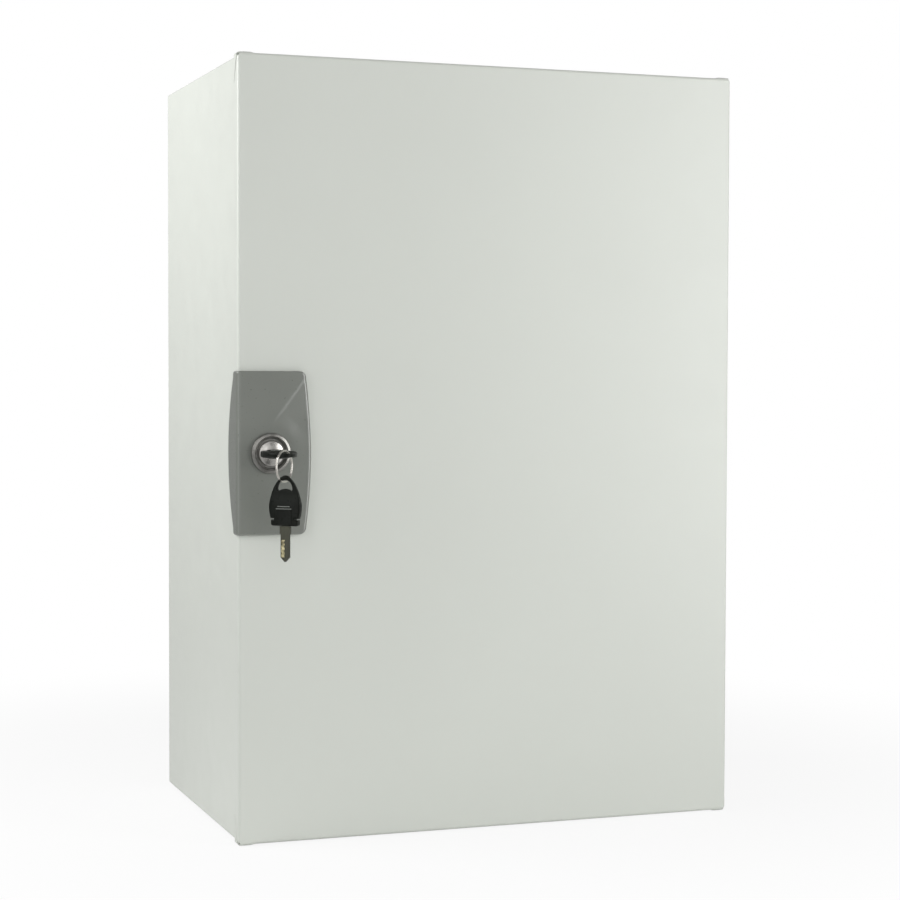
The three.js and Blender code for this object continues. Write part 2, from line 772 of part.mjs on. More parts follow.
function bowOutline() {
  const at = ([across, up], side) => [side * across * (bowWidth / 2), up * bowLength];
  const [foot, waist, wide, peak] = bowEndShares;
  const [belly, shoulder, tip] = bowHandleShares;
  const outline = new THREE.Shape();
  outline.moveTo(...at(foot, -1));
  outline.lineTo(...at(foot, 1));
  outline.lineTo(...at(waist, 1));
  outline.quadraticCurveTo(...at(belly, 1), ...at(wide, 1));
  outline.quadraticCurveTo(...at(shoulder, 1), ...at(peak, 1));
  outline.quadraticCurveTo(...at(tip, 1), ...at(peak, -1));
  outline.quadraticCurveTo(...at(shoulder, -1), ...at(wide, -1));
  outline.quadraticCurveTo(...at(belly, -1), ...at(waist, -1));
  outline.lineTo(...at(foot, -1));
  return outline;
}

const holeTop = bowLength - bowHoleDrop;
const holeMiddle = holeTop - bowHoleHeight / 2;

function bowHoleOutline(margin) {
  const w = bowHoleWidth / 2 + margin;
  const top = holeTop + margin;
  const foot = holeTop - bowHoleHeight - margin;
  const hole = new THREE.Shape();
  hole.moveTo(-w, foot);
  hole.lineTo(w, foot);
  hole.quadraticCurveTo(w * bowHoleRoundShare, top, 0, top);
  hole.quadraticCurveTo(-w * bowHoleRoundShare, top, -w, foot);
  return hole;
}

// The hole with its rim rounded off towards both faces
function bowHole() {
  const land = bowHoleLand / 2;
  const faces = [-1, 1].map((side) => {
    const inner = run(bowHoleOutline(0), "y", -land, land, 5);
    const face = (side * bowRimThickness) / 2;
    const ends = [face, face + side * seat].sort((a, b) => a - b);
    return wasm.Manifold.hull([inner, run(bowHoleOutline(bowHoleFlare), "y", ...ends, 5)]);
  });
  return joined(run(bowHoleOutline(0), "y", -overrun, overrun, 5), ...faces);
}

function keyBow(name) {
  const half = bowThickness / 2;
  const rim = bowRimThickness / 2;
  const body = run(bowOutline(), "y", -half, half, 5);
  const thinFrom = holeTop - bowHoleHeight * bowThinShare;
  const thin = [-1, 1].map((side) => {
    const ys = [side * rim, side * (half + overrun)].sort((a, b) => a - b);
    return block([-bowWidth, ys[0], thinFrom], [bowWidth, ys[1], bowLength + overrun]);
  });
  const pocket = block(
    [-tangWidth / 2 - keyGap, -bladeThickness / 2 - keyGap, -overrun],
    [tangWidth / 2 + keyGap, bladeThickness / 2 + keyGap, tangLength + keyGap],
  );
  return piece(name, cut(body, bowHole(), ...thin, pocket), blackPlastic);
}

function keyBlade(name) {
  const blade = bladeWidth / 2;
  const shoulder = shoulderWidth / 2;
  const tang = tangWidth / 2;
  const outline = polygon([
    [0, -bladeLength],
    [blade, bladePoint - bladeLength],
    [blade, -shoulderLength],
    [shoulder, -shoulderLength],
    [shoulder, -seat],
    [tang, -seat],
    [tang, tangLength],
    [-tang, tangLength],
    [-tang, -seat],
    [-shoulder, -seat],
    [-shoulder, -shoulderLength],
    [-blade, -shoulderLength],
    [-blade, bladePoint - bladeLength],
  ]);
  return piece(name, run(outline, "y", -bladeThickness / 2, bladeThickness / 2), nickel);
}

const keyInLock = placed(new THREE.Group(), lockX, bowStart, -lockDrop);
keyInLock.rotation.x = Math.PI / 2;
keyInLock.add(keyBow("key_bow"), keyBlade("key_blade"));

// Split ring through the key's bow, and the spare key that hangs from it
const ringX = lockX - ringShiftX;
const ringY = bowStart - holeMiddle - ringPastHole;
const ringZ = -lockDrop - ringDrop;

function keyRing() {
  const geometry = new THREE.TorusGeometry(ringRadius, wireRadius, 8, 36);
  const ring = placed(piece("key_ring", solidOf(geometry), nickel), 0, 0, 0);
  ring.rotation.x = Math.PI / 2;
  const turn = placed(new THREE.Group(), ringX, ringY, ringZ, THREE.MathUtils.degToRad(ringTurn));
  turn.add(ring);
  return turn;
}

const spareAngle = THREE.MathUtils.degToRad(spareTurn);
const spareKey = placed(
  new THREE.Group(),
  ringX + spareShift * Math.cos(spareAngle),
  ringY + spareShift * Math.sin(spareAngle),
  ringZ - ringRadius + wireRadius + seat - holeTop,
  spareAngle,
);
spareKey.add(keyBow("spare_key_bow"), keyBlade("spare_key_blade"));

// Swinging page: a shallow pan with hook rails on both faces
const page = new THREE.Group();
const pageSheetBack = pageY + pageDepth / 2;
const pageSheetFront = pageSheetBack - sheet;
const pageMiddle = (pageRight - pageLeft) / 2;
const rearRows = rows(pageRows - 1);

function pagePanel() {
  const h = pageHeight / 2;
  const pan = cut(
    block([-pageLeft, pageSheetBack - pageDepth, -h], [pageRight, pageSheetBack, h]),
    block(
      [-pageLeft + sheet, pageSheetBack - pageDepth - overrun, -h + sheet],
      [pageRight - sheet, pageSheetFront, h - sheet],
    ),
  );
  const slots = [...rows(pageRows), ...rearRows].flatMap((z) =>
    lugPlaces(pageHooks).map((x) =>
      lugSlot(pageMiddle + x, z, pageSheetFront - overrun / 2, pageSheetBack + overrun / 2),
    ),
  );
  const pinHole = rod("z", pagePinRadius + seat, h - overrun, h + overrun, [pageAxisX, pageY], 16);
  return piece("page_panel", cut(pan, ...slots, pinHole, pinHole.mirror([0, 0, 1])), greyPowder);
}

page.add(pagePanel());
rows(pageRows).forEach((z, i) => {
  const rail = hookRail(`page_front_rail_${i + 1}`, pageHooks);
  page.add(placed(rail, pageMiddle, pageSheetFront - seat, z));
});
rearRows.forEach((z, i) => {
  const rail = hookRail(`page_rear_rail_${i + 1}`, pageHooks);
  page.add(placed(rail, pageMiddle, pageSheetBack + seat, z, Math.PI));
});

// Whole cabinet, with its door closed and unlocked
const keyCabinet = new THREE.Group();
keyCabinet.add(cabinet, door, lockCore, keyInLock, keyRing(), spareKey, page);

export default keyCabinet;
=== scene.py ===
"""Looks of the key cabinet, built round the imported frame. Metres, +Z up, the door faces -Y."""

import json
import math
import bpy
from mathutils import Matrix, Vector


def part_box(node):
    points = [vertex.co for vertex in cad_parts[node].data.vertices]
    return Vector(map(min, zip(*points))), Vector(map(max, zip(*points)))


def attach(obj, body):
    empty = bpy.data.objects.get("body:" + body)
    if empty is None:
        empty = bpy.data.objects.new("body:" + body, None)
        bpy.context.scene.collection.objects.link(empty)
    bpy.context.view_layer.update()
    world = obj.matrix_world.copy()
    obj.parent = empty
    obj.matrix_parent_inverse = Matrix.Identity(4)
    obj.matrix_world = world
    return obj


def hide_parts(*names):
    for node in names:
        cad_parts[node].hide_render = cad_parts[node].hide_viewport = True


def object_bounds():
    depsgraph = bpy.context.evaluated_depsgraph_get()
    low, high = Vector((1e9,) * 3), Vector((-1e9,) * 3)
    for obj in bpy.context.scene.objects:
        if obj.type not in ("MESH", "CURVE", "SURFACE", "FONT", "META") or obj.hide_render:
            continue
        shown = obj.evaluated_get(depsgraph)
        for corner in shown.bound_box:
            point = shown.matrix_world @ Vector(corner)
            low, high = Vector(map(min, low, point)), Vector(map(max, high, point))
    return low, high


bl_info = {
    "name": "Key Cabinet",
    "version": (1, 0, 0),
    "blender": (4, 5, 0),
    "location": "3D View > Sidebar > Key Cabinet",
    "description": "Makes the finished pieces of a steel key cabinet on its frame, and the studio round it",
    "category": "Object",
}

import bmesh
import bpy
from bpy.props import FloatProperty, FloatVectorProperty, IntProperty, PointerProperty
from bpy.types import Operator, Panel, PropertyGroup
from mathutils import Euler, Matrix, Vector

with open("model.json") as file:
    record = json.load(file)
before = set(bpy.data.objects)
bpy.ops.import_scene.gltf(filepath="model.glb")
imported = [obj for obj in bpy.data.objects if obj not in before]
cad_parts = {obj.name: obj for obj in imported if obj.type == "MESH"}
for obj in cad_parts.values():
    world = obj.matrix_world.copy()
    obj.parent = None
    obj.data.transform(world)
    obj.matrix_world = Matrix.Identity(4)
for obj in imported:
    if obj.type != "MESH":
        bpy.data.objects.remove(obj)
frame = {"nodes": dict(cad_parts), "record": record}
CAD_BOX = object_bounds()

# Points closer than this are one point
TINY = 1e-6
# Edges past the first angle are shaded sharp, edges past the second are rounded
SHARP_ANGLE = math.radians(38)
ROUNDED_ANGLE = math.radians(35)
# A face is flat when its normal is this close to an axis
FLAT_COSINE = 0.9999

# Sizes of the part that its boxes in the frame don't show. A pair is a width and a height, or for a
# screw the radius of its shank and the height of its head
SHEET = 0.0012
PLAY = 0.0003
LIP = 0.018
STRIKE_EDGE = 0.008
NOTCH = 0.052
TONGUE = 0.002
TONGUE_WIDTH = 0.009
HINGE_PIN_RADIUS = 0.0015
PAGE_PIN_RADIUS = 0.0025
BUFFER_STEM = 0.0025
WALL_HOLE_RADIUS = 0.004
WALL_HOLE_INSET = (0.0605, 0.0345)
RIVET_RADIUS = 0.002
RIVET_HEAD = 0.0016
SCREW_RADIUS = 0.0015
HOUSING_SCREW = (SCREW_RADIUS, 0.0018)
CAM_SCREW = (0.0018, 0.0024)
NUT_ROUND = 0.0004
THROUGH = 4 * SHEET
LUG_WIDTH = 0.0016
LUG_HEIGHT = 0.008
LUG_REACH = 0.004
LUG_PLAY = 0.0005
LUG_SHARE = 0.62
HOOK_PITCH = 0.032
RAIL_THICKNESS = 0.0015
RAIL_END = 0.012
HOOK_WIDTH = 0.0024
HOOK_THICKNESS = 0.002
HOOK_REACH = 0.0175
HOOK_TIP = 0.007
KEY_BOW = (0.024, 0.0342)
KEY_RIM = 0.0026
KEY_HOLE = (0.011, 0.0066)
KEY_HOLE_DROP = 0.0035
BLADE = (0.0064, 0.0243)
BLADE_THICKNESS = 0.0022
BLADE_POINT = 0.003
SHOULDER = (0.0078, 0.0054)
TANG = (0.006, 0.011)
SPARE_TURN = math.radians(-43)
RING_TURN = math.radians(45)
RING_WIRE = 0.00075


# Places and sizes taken from the frame


def middle_of(node):
    low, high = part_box(node)
    return (low + high) / 2


def size_of(node):
    low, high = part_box(node)
    return high - low


def nodes_like(stem):
    return sorted(name for name in frame["nodes"] if name.startswith(stem))


def body_of(node):
    return next(body for body, nodes in frame["record"]["behaviour"]["bodies"].items() if node in nodes)


# Sizes and colours that a user can change


def length(name, description, default):
    return FloatProperty(
        name=name, description=description, default=default, min=0, unit="LENGTH", precision=5
    )


def share(name, description, default):
    return FloatProperty(name=name, description=description, default=default, min=0, max=1, subtype="FACTOR")


def colour(name, description, default):
    return FloatVectorProperty(
        name=name, description=description, default=default, size=3, min=0, max=1, subtype="COLOR"
    )


def watts(name, description, default):
    return FloatProperty(name=name, description=description, default=default, min=0, unit="POWER")


class SheetMetalSizes(PropertyGroup):
    bend: length("Bend", "Outer radius of the door's folded edges", 0.0021)
    body_bend: length("Body bend", "Outer radius of the body's folded edges", 0.0016)
    edge: length("Edge", "Rounding of cut sheet edges", 0.00025)
    ear_length: length("Ear length", "Length of the door's bulged corners", 0.009)
    ear_slope: length("Ear slope", "Length over which a bulged corner runs out", 0.0035)
    ear_height: length("Ear height", "How far a bulged corner stands out", 0.0007)
    slit_length: length("Slit length", "Height of the slanted slit in the door's side fold", 0.021)
    slit_width: length("Slit width", "Width of that slit at an upper corner", 0.0019)
    low_slit_width: length("Low slit width", "Width of that slit at a lower corner", 0.0007)
    relief: length("Relief", "Radius of the relief hole where the door's folds meet", 0.0013)
    reach: length("Reach", "How far the cuts for lock and screws reach past the door's front", 0.012)
    steps: IntProperty(name="Bend steps", description="Facets of a bend", default=6, min=2, max=16)


class HousingSizes(PropertyGroup):
    end_width: length("End width", "From the door's left edge to the housing's right corners", 0.0481)
    end_wing: length("End wing", "From the door's front to the wing's back corners", 0.0077)
    left_round: length("Left round", "Radius of the upright edge round the door's side", 0.0027)
    end_round: length("End round", "Rounding of the top and bottom edges", 0.0013)
    right_round: length("Right round", "Rounding of the bowed edge", 0.0022)
    corner: length("Corner", "Radius of the corners seen from the front", 0.0048)
    seam: length("Seam", "Width of the seam beside the upright edge", 0.0005)
    wall: length("Wall", "Thickness of the wing round the door's side", 0.0015)
    grip_drop: length("Grip drop", "How far the finger side falls away at the corner", 0.001)
    grip_width: length("Grip width", "Distance from the crease over which it falls", 0.017)
    step: length("Step", "Height of the soft step along the crease", 0.00026)
    step_width: length("Step width", "Width of that step", 0.0019)
    plain_radius: length("Plain radius", "Flat round about the lock's axis", 0.017)
    plain_fade: length("Plain fade", "Width over which the grip starts outside that round", 0.012)
    crease_foot: FloatVectorProperty(
        name="Crease foot", description="Lower end of the crease, across and up from the lock's axis",
        default=(0.0037, 0.0248), size=2, unit="LENGTH", precision=5,
    )
    crease_top: FloatVectorProperty(
        name="Crease top", description="Upper end of the crease, across and up from the lock's axis",
        default=(0.0253, 0.0537), size=2, unit="LENGTH", precision=5,
    )
    columns: IntProperty(name="Columns", description="Facets across the front", default=56, min=8, max=90)
    rows: IntProperty(name="Rows", description="Facets from the middle to an end", default=56, min=8, max=90)


class LockSizes(PropertyGroup):
    rim_round: length("Rim round", "Rounding of the collar's edges", 0.0008)
    crown_round: length("Crown round", "Rounding of the cylinder head's edge", 0.0011)
    thread_pitch: length("Thread pitch", "Pitch of the barrel's thread", 0.001)
    thread_depth: length("Thread depth", "Depth of the barrel's thread", 0.0004)
    thread_start: length("Thread start", "From the door's front to the thread", 0.003)
    bore: length("Bore", "Inner radius of the collar's rim", 0.0104)
    floor: length("Floor", "Thickness of the collar inside its rim", 0.0009)
    groove: length("Groove", "Depth and half width of the groove in the collar's rim", 0.0004)
    slope: length("Slope", "Width of the slope round the collar's rim", 0.0016)
    dome: length("Dome", "Rise of the cylinder's domed head", 0.0013)
    plug_radius: length("Plug radius", "Radius of the cylinder behind its head", 0.006)
    sides: IntProperty(name="Sides", description="Facets of the turned pieces", default=72, min=24, max=160)


class KeySizes(PropertyGroup):
    bow_round: length("Bow round", "Rounding of the bow's edges", 0.0011)
    hole_ease: length("Hole ease", "How much larger the bow's hole is cut on each side", 0.00025)
    hole_mound: length("Hole mound", "How far the bow rises into its hole from below", 0.0013)
    crown: length("Crown", "How much thinner the bow's edges are than its middle, on each face", 0.0007)
    thinning: length("Thinning", "Length over which the bow thins down to its rim", 0.009)
    panel_width: length("Panel width", "Width of the bow's raised panel", 0.0117)
    panel_height: length("Panel height", "Height of the bow's raised panel", 0.0112)
    panel_foot: length("Panel foot", "Height of the panel's lower edge above the bow's end", 0.0008)
    panel_round: length("Panel round", "Radius of the panel's corners", 0.0007)
    panel_rise: length("Panel rise", "How far the panel stands out", 0.00042)
    rib_length: length("Rib length", "Length of the upper rib", 0.0092)
    rib_height: length("Rib height", "Height of each rib", 0.0007)
    rib_place: length("Rib place", "Height of the upper rib above the bow's end", 0.0132)
    notch_depth: length("Notch depth", "Depth of the bow's side notches", 0.0023)
    notch_rise: length("Notch rise", "Height of the notches above the bow's end", 0.0046)
    notch_height: length("Notch height", "Height of a notch", 0.001)
    track_width: length("Track width", "Width of the milled track of the blade", 0.0025)
    track_depth: length("Track depth", "Depth of the milled track of the blade", 0.0003)
    track_start: length("Track start", "From the blade's shoulder to the start of the track", 0.004)
    track_swing: length("Track swing", "How far the track runs from side to side", 0.0008)
    track_side: length("Track side", "From the blade's middle to the track's middle", 0.001)


class RingSizes(PropertyGroup):
    width: length("Width", "Radial width of the ring's flat wire", 0.0011)
    thickness: length("Thickness", "Thickness of one turn", 0.00062)
    step: length("Step", "From the middle of one turn to the middle of the other", 0.00068)
    draw_in: length("Draw in", "How much smaller than the frame's ring the turns are wound", 0.0001)


class RackSizes(PropertyGroup):
    web: length("Web", "Thickness of a rail between its beads", 0.001)
    bead: length("Bead", "Height of a rail's bead", 0.0022)
    end_round: length("End round", "Rounding of the rails' ends and lugs, and of small plates", 0.0003)
    digit_rise: length("Digit rise", "Half thickness of the printed numbers", 0.00004)
    upright_bend: length("Upright bend", "Outer radius of an upright's folds", 0.0018)
    hook_bend: length("Hook bend", "Middle radius of a hook's bend", 0.0017)
    buffer_round: length("Buffer round", "Rounding of a buffer's face", 0.0014)
    buffer_tip: length("Buffer tip", "Radius of the end of a buffer's stem", 0.0017)
    digit_height: length("Digit height", "Height of the hook numbers", 0.0052)
    digit_gap: length("Digit gap", "From the hook down to its number", 0.0016)


class FinishColours(PropertyGroup):
    paint: colour("Paint", "Light grey powder coat", (0.66, 0.685, 0.635))
    housing: colour("Housing", "Grey plastic of the lock housing", (0.168, 0.180, 0.158))
    key: colour("Key", "Black plastic of the key bows", (0.006, 0.0075, 0.0055))
    # The ribs' light grey is partly real rubbing and partly a painted highlight for the glints along their
    # crests
    rubbed_and_glint: colour("Rubbed plastic and painted glint", "Edges of the key bows that pockets have rubbed, lightened also as a painted glint", (0.15, 0.16, 0.145))
    bezel: colour("Bezel", "Dark nickel of the lock's collar", (0.26, 0.256, 0.24))
    nickel: colour("Nickel", "Bright nickel of the barrel and the ring", (0.62, 0.60, 0.56))
    cylinder: colour("Cylinder", "Worn nickel of the cylinder's head", (0.52, 0.507, 0.48))
    blade: colour("Blade", "Dull nickel silver of the key blades", (0.075, 0.077, 0.062))
    brass: colour("Brass", "Brass laid bare in the blades' milled tracks", (0.45, 0.41, 0.25))
    zinc: colour("Zinc", "Zinc-plated steel", (0.62, 0.64, 0.66))
    rail: colour("Rail", "Aluminium of the hook rails", (0.70, 0.71, 0.72))
    rubber: colour("Rubber", "Door buffers", (0.02, 0.02, 0.021))
    ink: colour("Ink", "Hook numbers", (0.03, 0.032, 0.035))


class StudioSettings(PropertyGroup):
    lens: FloatProperty(name="Lens", description="Focal length", default=84.23, min=20, unit="CAMERA")
    camera_place: FloatVectorProperty(
        name="Camera place", description="Where the camera stands", default=(-0.54226, -1.65349, 0.05433),
        size=3, subtype="TRANSLATION", unit="LENGTH",
    )
    camera_turn: FloatVectorProperty(
        name="Camera turn", description="How the camera is turned", size=3, subtype="EULER",
        default=(math.radians(87.9147), math.radians(-0.1518), math.radians(-19.7114)), unit="ROTATION",
    )
    floor_gap: length("Floor gap", "From the floor to the cabinet", 0.0004)
    floor_size: length("Floor size", "Length of the floor's sides", 60)
    fade_start: length("Fade start", "From the cabinet to where the floor starts to fade to white", 0.25)
    fade_end: length("Fade end", "From the cabinet to where the floor is plain white", 0.7)
    near_white: share("Near white", "How white the camera sees the floor beside the cabinet", 0.88)
    side_light: watts("Side light", "Lamp beside the upper half of the body's left side", 4.12)
    left_light: watts("Left light", "Tall lamp to the left in front", 3.0)
    near_light: watts("Near light", "Tall lamp close to the door's right side", 14.25)
    front_light: watts("Front light", "Lamp behind the camera", 8.3)
    fill: FloatProperty(name="Fill", description="Strength of the light all round", default=0.275, min=0)


class KeyCabinetSettings(PropertyGroup):
    metal: PointerProperty(type=SheetMetalSizes)
    housing: PointerProperty(type=HousingSizes)
    lock: PointerProperty(type=LockSizes)
    keys: PointerProperty(type=KeySizes)
    ring: PointerProperty(type=RingSizes)
    racks: PointerProperty(type=RackSizes)
    colours: PointerProperty(type=FinishColours)
    studio: PointerProperty(type=StudioSettings)


def settings():
    return bpy.context.scene.key_cabinet


# Finishes

# Values of a noise at which the low and the high end of a tone or roughness are reached
NOISE_LOW, NOISE_HIGH = 0.3, 0.7


def fill_in(node, values):
    """Gives the inputs of a shading node their values, by their names."""
    for name, value in values.items():
        node.inputs[name].default_value = value


class Nodes:
    """A tree of shading nodes, with short calls for a new node and a new link."""

    def __init__(self, tree):
        self.tree = tree

    def node(self, kind, inputs=None, **values):
        made = self.tree.nodes.new(kind)
        for key, value in values.items():
            setattr(made, key, value)
        fill_in(made, inputs or {})
        return made

    def link(self, source, target):
        self.tree.links.new(source, target)


class Finish(Nodes):
    """A material under its name, with short calls for what the finishes share."""

    def __init__(self, name, metallic=0.0, specular=0.5):
        self.material = bpy.data.materials.new(name)
        self.material.use_nodes = True
        super().__init__(self.material.node_tree)
        self.shader = self.tree.nodes["Principled BSDF"]
        fill_in(self.shader, {"Metallic": metallic, "Specular IOR Level": specular})
        self.place = self.node("ShaderNodeTexCoord").outputs["Object"]

    def noise(self, scale, detail=3.0, rough=0.55, stretch=(1, 1, 1)):
        """Soft irregular tones, finer with a larger scale and longer where it is stretched less."""
        made = self.node("ShaderNodeTexNoise", {"Scale": scale, "Detail": detail, "Roughness": rough})
        mapping = self.node("ShaderNodeMapping", {"Scale": stretch})
        self.link(self.place, mapping.inputs["Vector"])
        self.link(mapping.outputs["Vector"], made.inputs["Vector"])
        return made.outputs["Fac"]

    def cells(self, scale):
        """Small flakes of different tones."""
        made = self.node("ShaderNodeTexVoronoi", {"Scale": scale})
        self.link(self.place, made.inputs["Vector"])
        return made.outputs["Color"]

    def rings(self, scale, distortion=0.4, detail=2.0):
        """Rings about the Y axis, as turning leaves them."""
        values = {"Scale": scale, "Distortion": distortion, "Detail": detail}
        made = self.node("ShaderNodeTexWave", values, wave_type="RINGS", rings_direction="Y")
        self.link(self.place, made.inputs["Vector"])
        return made.outputs["Fac"]

    def tint(self, factor, base, low, high):
        """Colours the surface from the base times low to the base times high."""
        ramp = self.node("ShaderNodeValToRGB")
        for stop, (at, times) in zip(ramp.color_ramp.elements, ((NOISE_LOW, low), (NOISE_HIGH, high))):
            stop.position = at
            stop.color = (*[min(1, c * t) for c, t in zip(base, times)], 1)
        self.link(factor, ramp.inputs["Fac"])
        self.link(ramp.outputs["Color"], self.shader.inputs["Base Color"])

    def roughness(self, factor, low, high):
        values = {"From Min": NOISE_LOW, "From Max": NOISE_HIGH, "To Min": low, "To Max": high}
        span = self.node("ShaderNodeMapRange", values)
        self.link(factor, span.inputs["Value"])
        self.link(span.outputs["Result"], self.shader.inputs["Roughness"])

    def clear_coat(self, weight, roughness):
        fill_in(self.shader, {"Coat Weight": weight, "Coat Roughness": roughness})

    def bump(self, height, strength, distance):
        """Adds fine relief to what the surface has already."""
        made = self.node("ShaderNodeBump", {"Strength": strength, "Distance": distance})
        self.link(height, made.inputs["Height"])
        normal = self.shader.inputs["Normal"]
        if normal.is_linked:
            self.link(normal.links[0].from_socket, made.inputs["Normal"])
        self.link(made.outputs["Normal"], normal)


def grey(value):
    return (value, value, value)


def powder_coat():
    coat = Finish("Powder coat")
    coat.tint(coat.noise(5, 2), settings().colours.paint, grey(0.985), grey(1.012))
    coat.roughness(coat.noise(60, 4), 0.36, 0.46)
    coat.bump(coat.noise(650, 2), strength=0.10, distance=0.00018)
    coat.bump(coat.noise(2600, 2), strength=0.08, distance=0.00006)
    coat.clear_coat(weight=0.12, roughness=0.22)
    return coat.material


def zinc_steel():
    zinc = Finish("Zinc-plated steel", metallic=1.0)
    zinc.tint(zinc.cells(420), settings().colours.zinc, (0.9, 0.9, 0.88), (1.06, 1.06, 1.1))
    zinc.roughness(zinc.noise(180, 4), 0.3, 0.46)
    zinc.bump(zinc.noise(900, 3), strength=0.12, distance=0.00008)
    return zinc.material


def rail_aluminium():
    rail = Finish("Satin aluminium", metallic=1.0)
    brushed = rail.noise(1, 4, 0.6, stretch=(12, 1400, 1400))
    rail.tint(brushed, settings().colours.rail, grey(0.92), grey(1.06))
    rail.roughness(brushed, 0.3, 0.44)
    rail.bump(brushed, strength=0.1, distance=0.00005)
    return rail.material


def bright_nickel():
    nickel = Finish("Bright nickel", metallic=1.0)
    nickel.tint(nickel.noise(90, 3), settings().colours.nickel, grey(0.93), grey(1.05))
    nickel.roughness(nickel.noise(240, 5, 0.7), 0.13, 0.27)
    nickel.bump(nickel.noise(1, 3, 0.6, stretch=(500, 90, 2600)), strength=0.05, distance=0.00003)
    return nickel.material


def cylinder_nickel():
    head = Finish("Worn nickel of the cylinder", metallic=1.0)
    head.tint(head.noise(420, 4, 0.7), settings().colours.cylinder, grey(0.7), grey(1.12))
    head.roughness(head.noise(240, 5, 0.7), 0.24, 0.36)
    head.bump(head.noise(1100, 3), strength=0.12, distance=0.00005)
    return head.material


def turned_nickel():
    bezel = Finish("Dark satin nickel", metallic=1.0)
    bezel.tint(bezel.noise(300, 4), settings().colours.bezel, grey(0.86), grey(1.12))
    bezel.roughness(bezel.noise(600, 4), 0.27, 0.4)
    bezel.bump(bezel.rings(1500), strength=0.12, distance=0.00003)
    return bezel.material


def nickel_silver():
    blade = Finish("Nickel silver", metallic=1.0)
    worn = blade.noise(1, 4, 0.6, stretch=(2200, 2200, 60))
    blade.tint(worn, settings().colours.blade, (0.88, 0.88, 0.86), (1.12, 1.1, 1.06))
    blade.roughness(worn, 0.25, 0.42)
    blade.bump(worn, strength=0.12, distance=0.00004)
    return blade.material


def milled_brass():
    brass = Finish("Milled brass", metallic=1.0)
    cuts = brass.noise(1, 4, 0.6, stretch=(900, 900, 5200))
    pits = brass.noise(1, 1, 0.4, stretch=(160, 160, 560))
    brass.tint(pits, settings().colours.brass, grey(0.3), grey(1.45))
    brass.roughness(cuts, 0.3, 0.5)
    brass.bump(cuts, strength=0.3, distance=0.00006)
    return brass.material


def housing_plastic():
    housing = Finish("Grey housing plastic", specular=0.9)
    housing.tint(housing.noise(30, 3), settings().colours.housing, grey(0.95), grey(1.05))
    housing.roughness(housing.noise(500, 4), 0.27, 0.36)
    housing.bump(housing.noise(1900, 3), strength=0.12, distance=0.00005)
    housing.clear_coat(weight=0.8, roughness=0.25)
    return housing.material


def key_plastic():
    key = Finish("Black key plastic", specular=0.13)
    key.tint(key.noise(120, 4), settings().colours.key, grey(0.8), grey(1.35))
    key.roughness(key.noise(260, 5, 0.65), 0.22, 0.42)
    key.bump(key.noise(2400, 3), strength=0.12, distance=0.00005)
    return key.material


# Lighter plastic for the ribs: partly real rubbing, partly a painted glint along their crests
def rubbed_and_glint_plastic():
    rubbed_and_glint = Finish("Rubbed edge of the key plastic", specular=0.4)
    rubbed_and_glint.tint(rubbed_and_glint.noise(900, 3), settings().colours.rubbed_and_glint, grey(0.7), grey(1.3))
    rubbed_and_glint.roughness(rubbed_and_glint.noise(600, 3), 0.25, 0.45)
    rubbed_and_glint.bump(rubbed_and_glint.noise(2400, 3), strength=0.1, distance=0.00005)
    return rubbed_and_glint.material


def buffer_rubber():
    rubber = Finish("Black rubber", specular=0.35)
    rubber.tint(rubber.noise(400, 3), settings().colours.rubber, grey(0.8), grey(1.4))
    rubber.roughness(rubber.noise(700, 3), 0.62, 0.82)
    rubber.bump(rubber.noise(1500, 4), strength=0.3, distance=0.0001)
    return rubber.material


def number_ink():
    ink = Finish("Number ink")
    ink.tint(ink.noise(900, 4), settings().colours.ink, grey(0.8), grey(1.5))
    ink.roughness(ink.noise(1200, 3), 0.45, 0.6)
    return ink.material


made_finishes = {}


def finish(make):
    """The material that a finish function makes, made once."""
    if make.__name__ not in made_finishes:
        made_finishes[make.__name__] = make()
    return made_finishes[make.__name__]


# Mesh code that the pieces share


def skin(bm, rings, closed=True, whole_rings=True):
    """Joins rings of points with faces. Closed joins the last ring to the first, else both ends get caps.

    Whole rings also join each ring's last point to its first.
    """
    loops = [[bm.verts.new(point) for point in ring] for ring in rings]
    count = len(loops[0])
    pairs = list(zip(loops, loops[1:])) + ([(loops[-1], loops[0])] if closed else [])
    for one, two in pairs:
        for i in range(count if whole_rings else count - 1):
            j = (i + 1) % count
            bm.faces.new((one[i], one[j], two[j], two[i]))
    if not closed:
        bm.faces.new(loops[0])
        bm.faces.new(reversed(loops[-1]))
    return loops


def lofted(rings):
    """A solid through rings of points, closed at both ends."""
    bm = bmesh.new()
    skin(bm, rings, closed=False)
    bmesh.ops.recalc_face_normals(bm, faces=bm.faces)
    return bm


def tidied(bm):
    """The mesh without double points or empty faces, its normals outwards."""
    bmesh.ops.remove_doubles(bm, verts=bm.verts, dist=TINY)
    bmesh.ops.dissolve_degenerate(bm, dist=TINY, edges=bm.edges)
    bmesh.ops.recalc_face_normals(bm, faces=bm.faces)
    return bm


def turned(profile, sides):
    """A piece turned about the Y axis from its profile of radius and height."""
    bm = bmesh.new()
    rings = []
    for i in range(sides):
        a = math.tau * i / sides
        rings.append([Vector((r * math.cos(a), y, r * math.sin(a))) for r, y in profile])
    skin(bm, rings)
    return tidied(bm)


def arc(centre, radius, start, end, steps):
    """Points on an arc in a plane, between two angles in degrees."""
    turns = [math.radians(start + (end - start) * i / steps) for i in range(steps + 1)]
    return [(centre[0] + radius * math.cos(a), centre[1] + radius * math.sin(a)) for a in turns]


def copied(node):
    """The frame's mesh of a node, with its flat triangles joined in pairs."""
    bm = bmesh.new()
    bm.from_mesh(frame["nodes"][node].data)
    bmesh.ops.remove_doubles(bm, verts=bm.verts, dist=TINY)
    bmesh.ops.join_triangles(
        bm, faces=bm.faces, angle_face_threshold=math.radians(1), angle_shape_threshold=math.pi
    )
    return bm


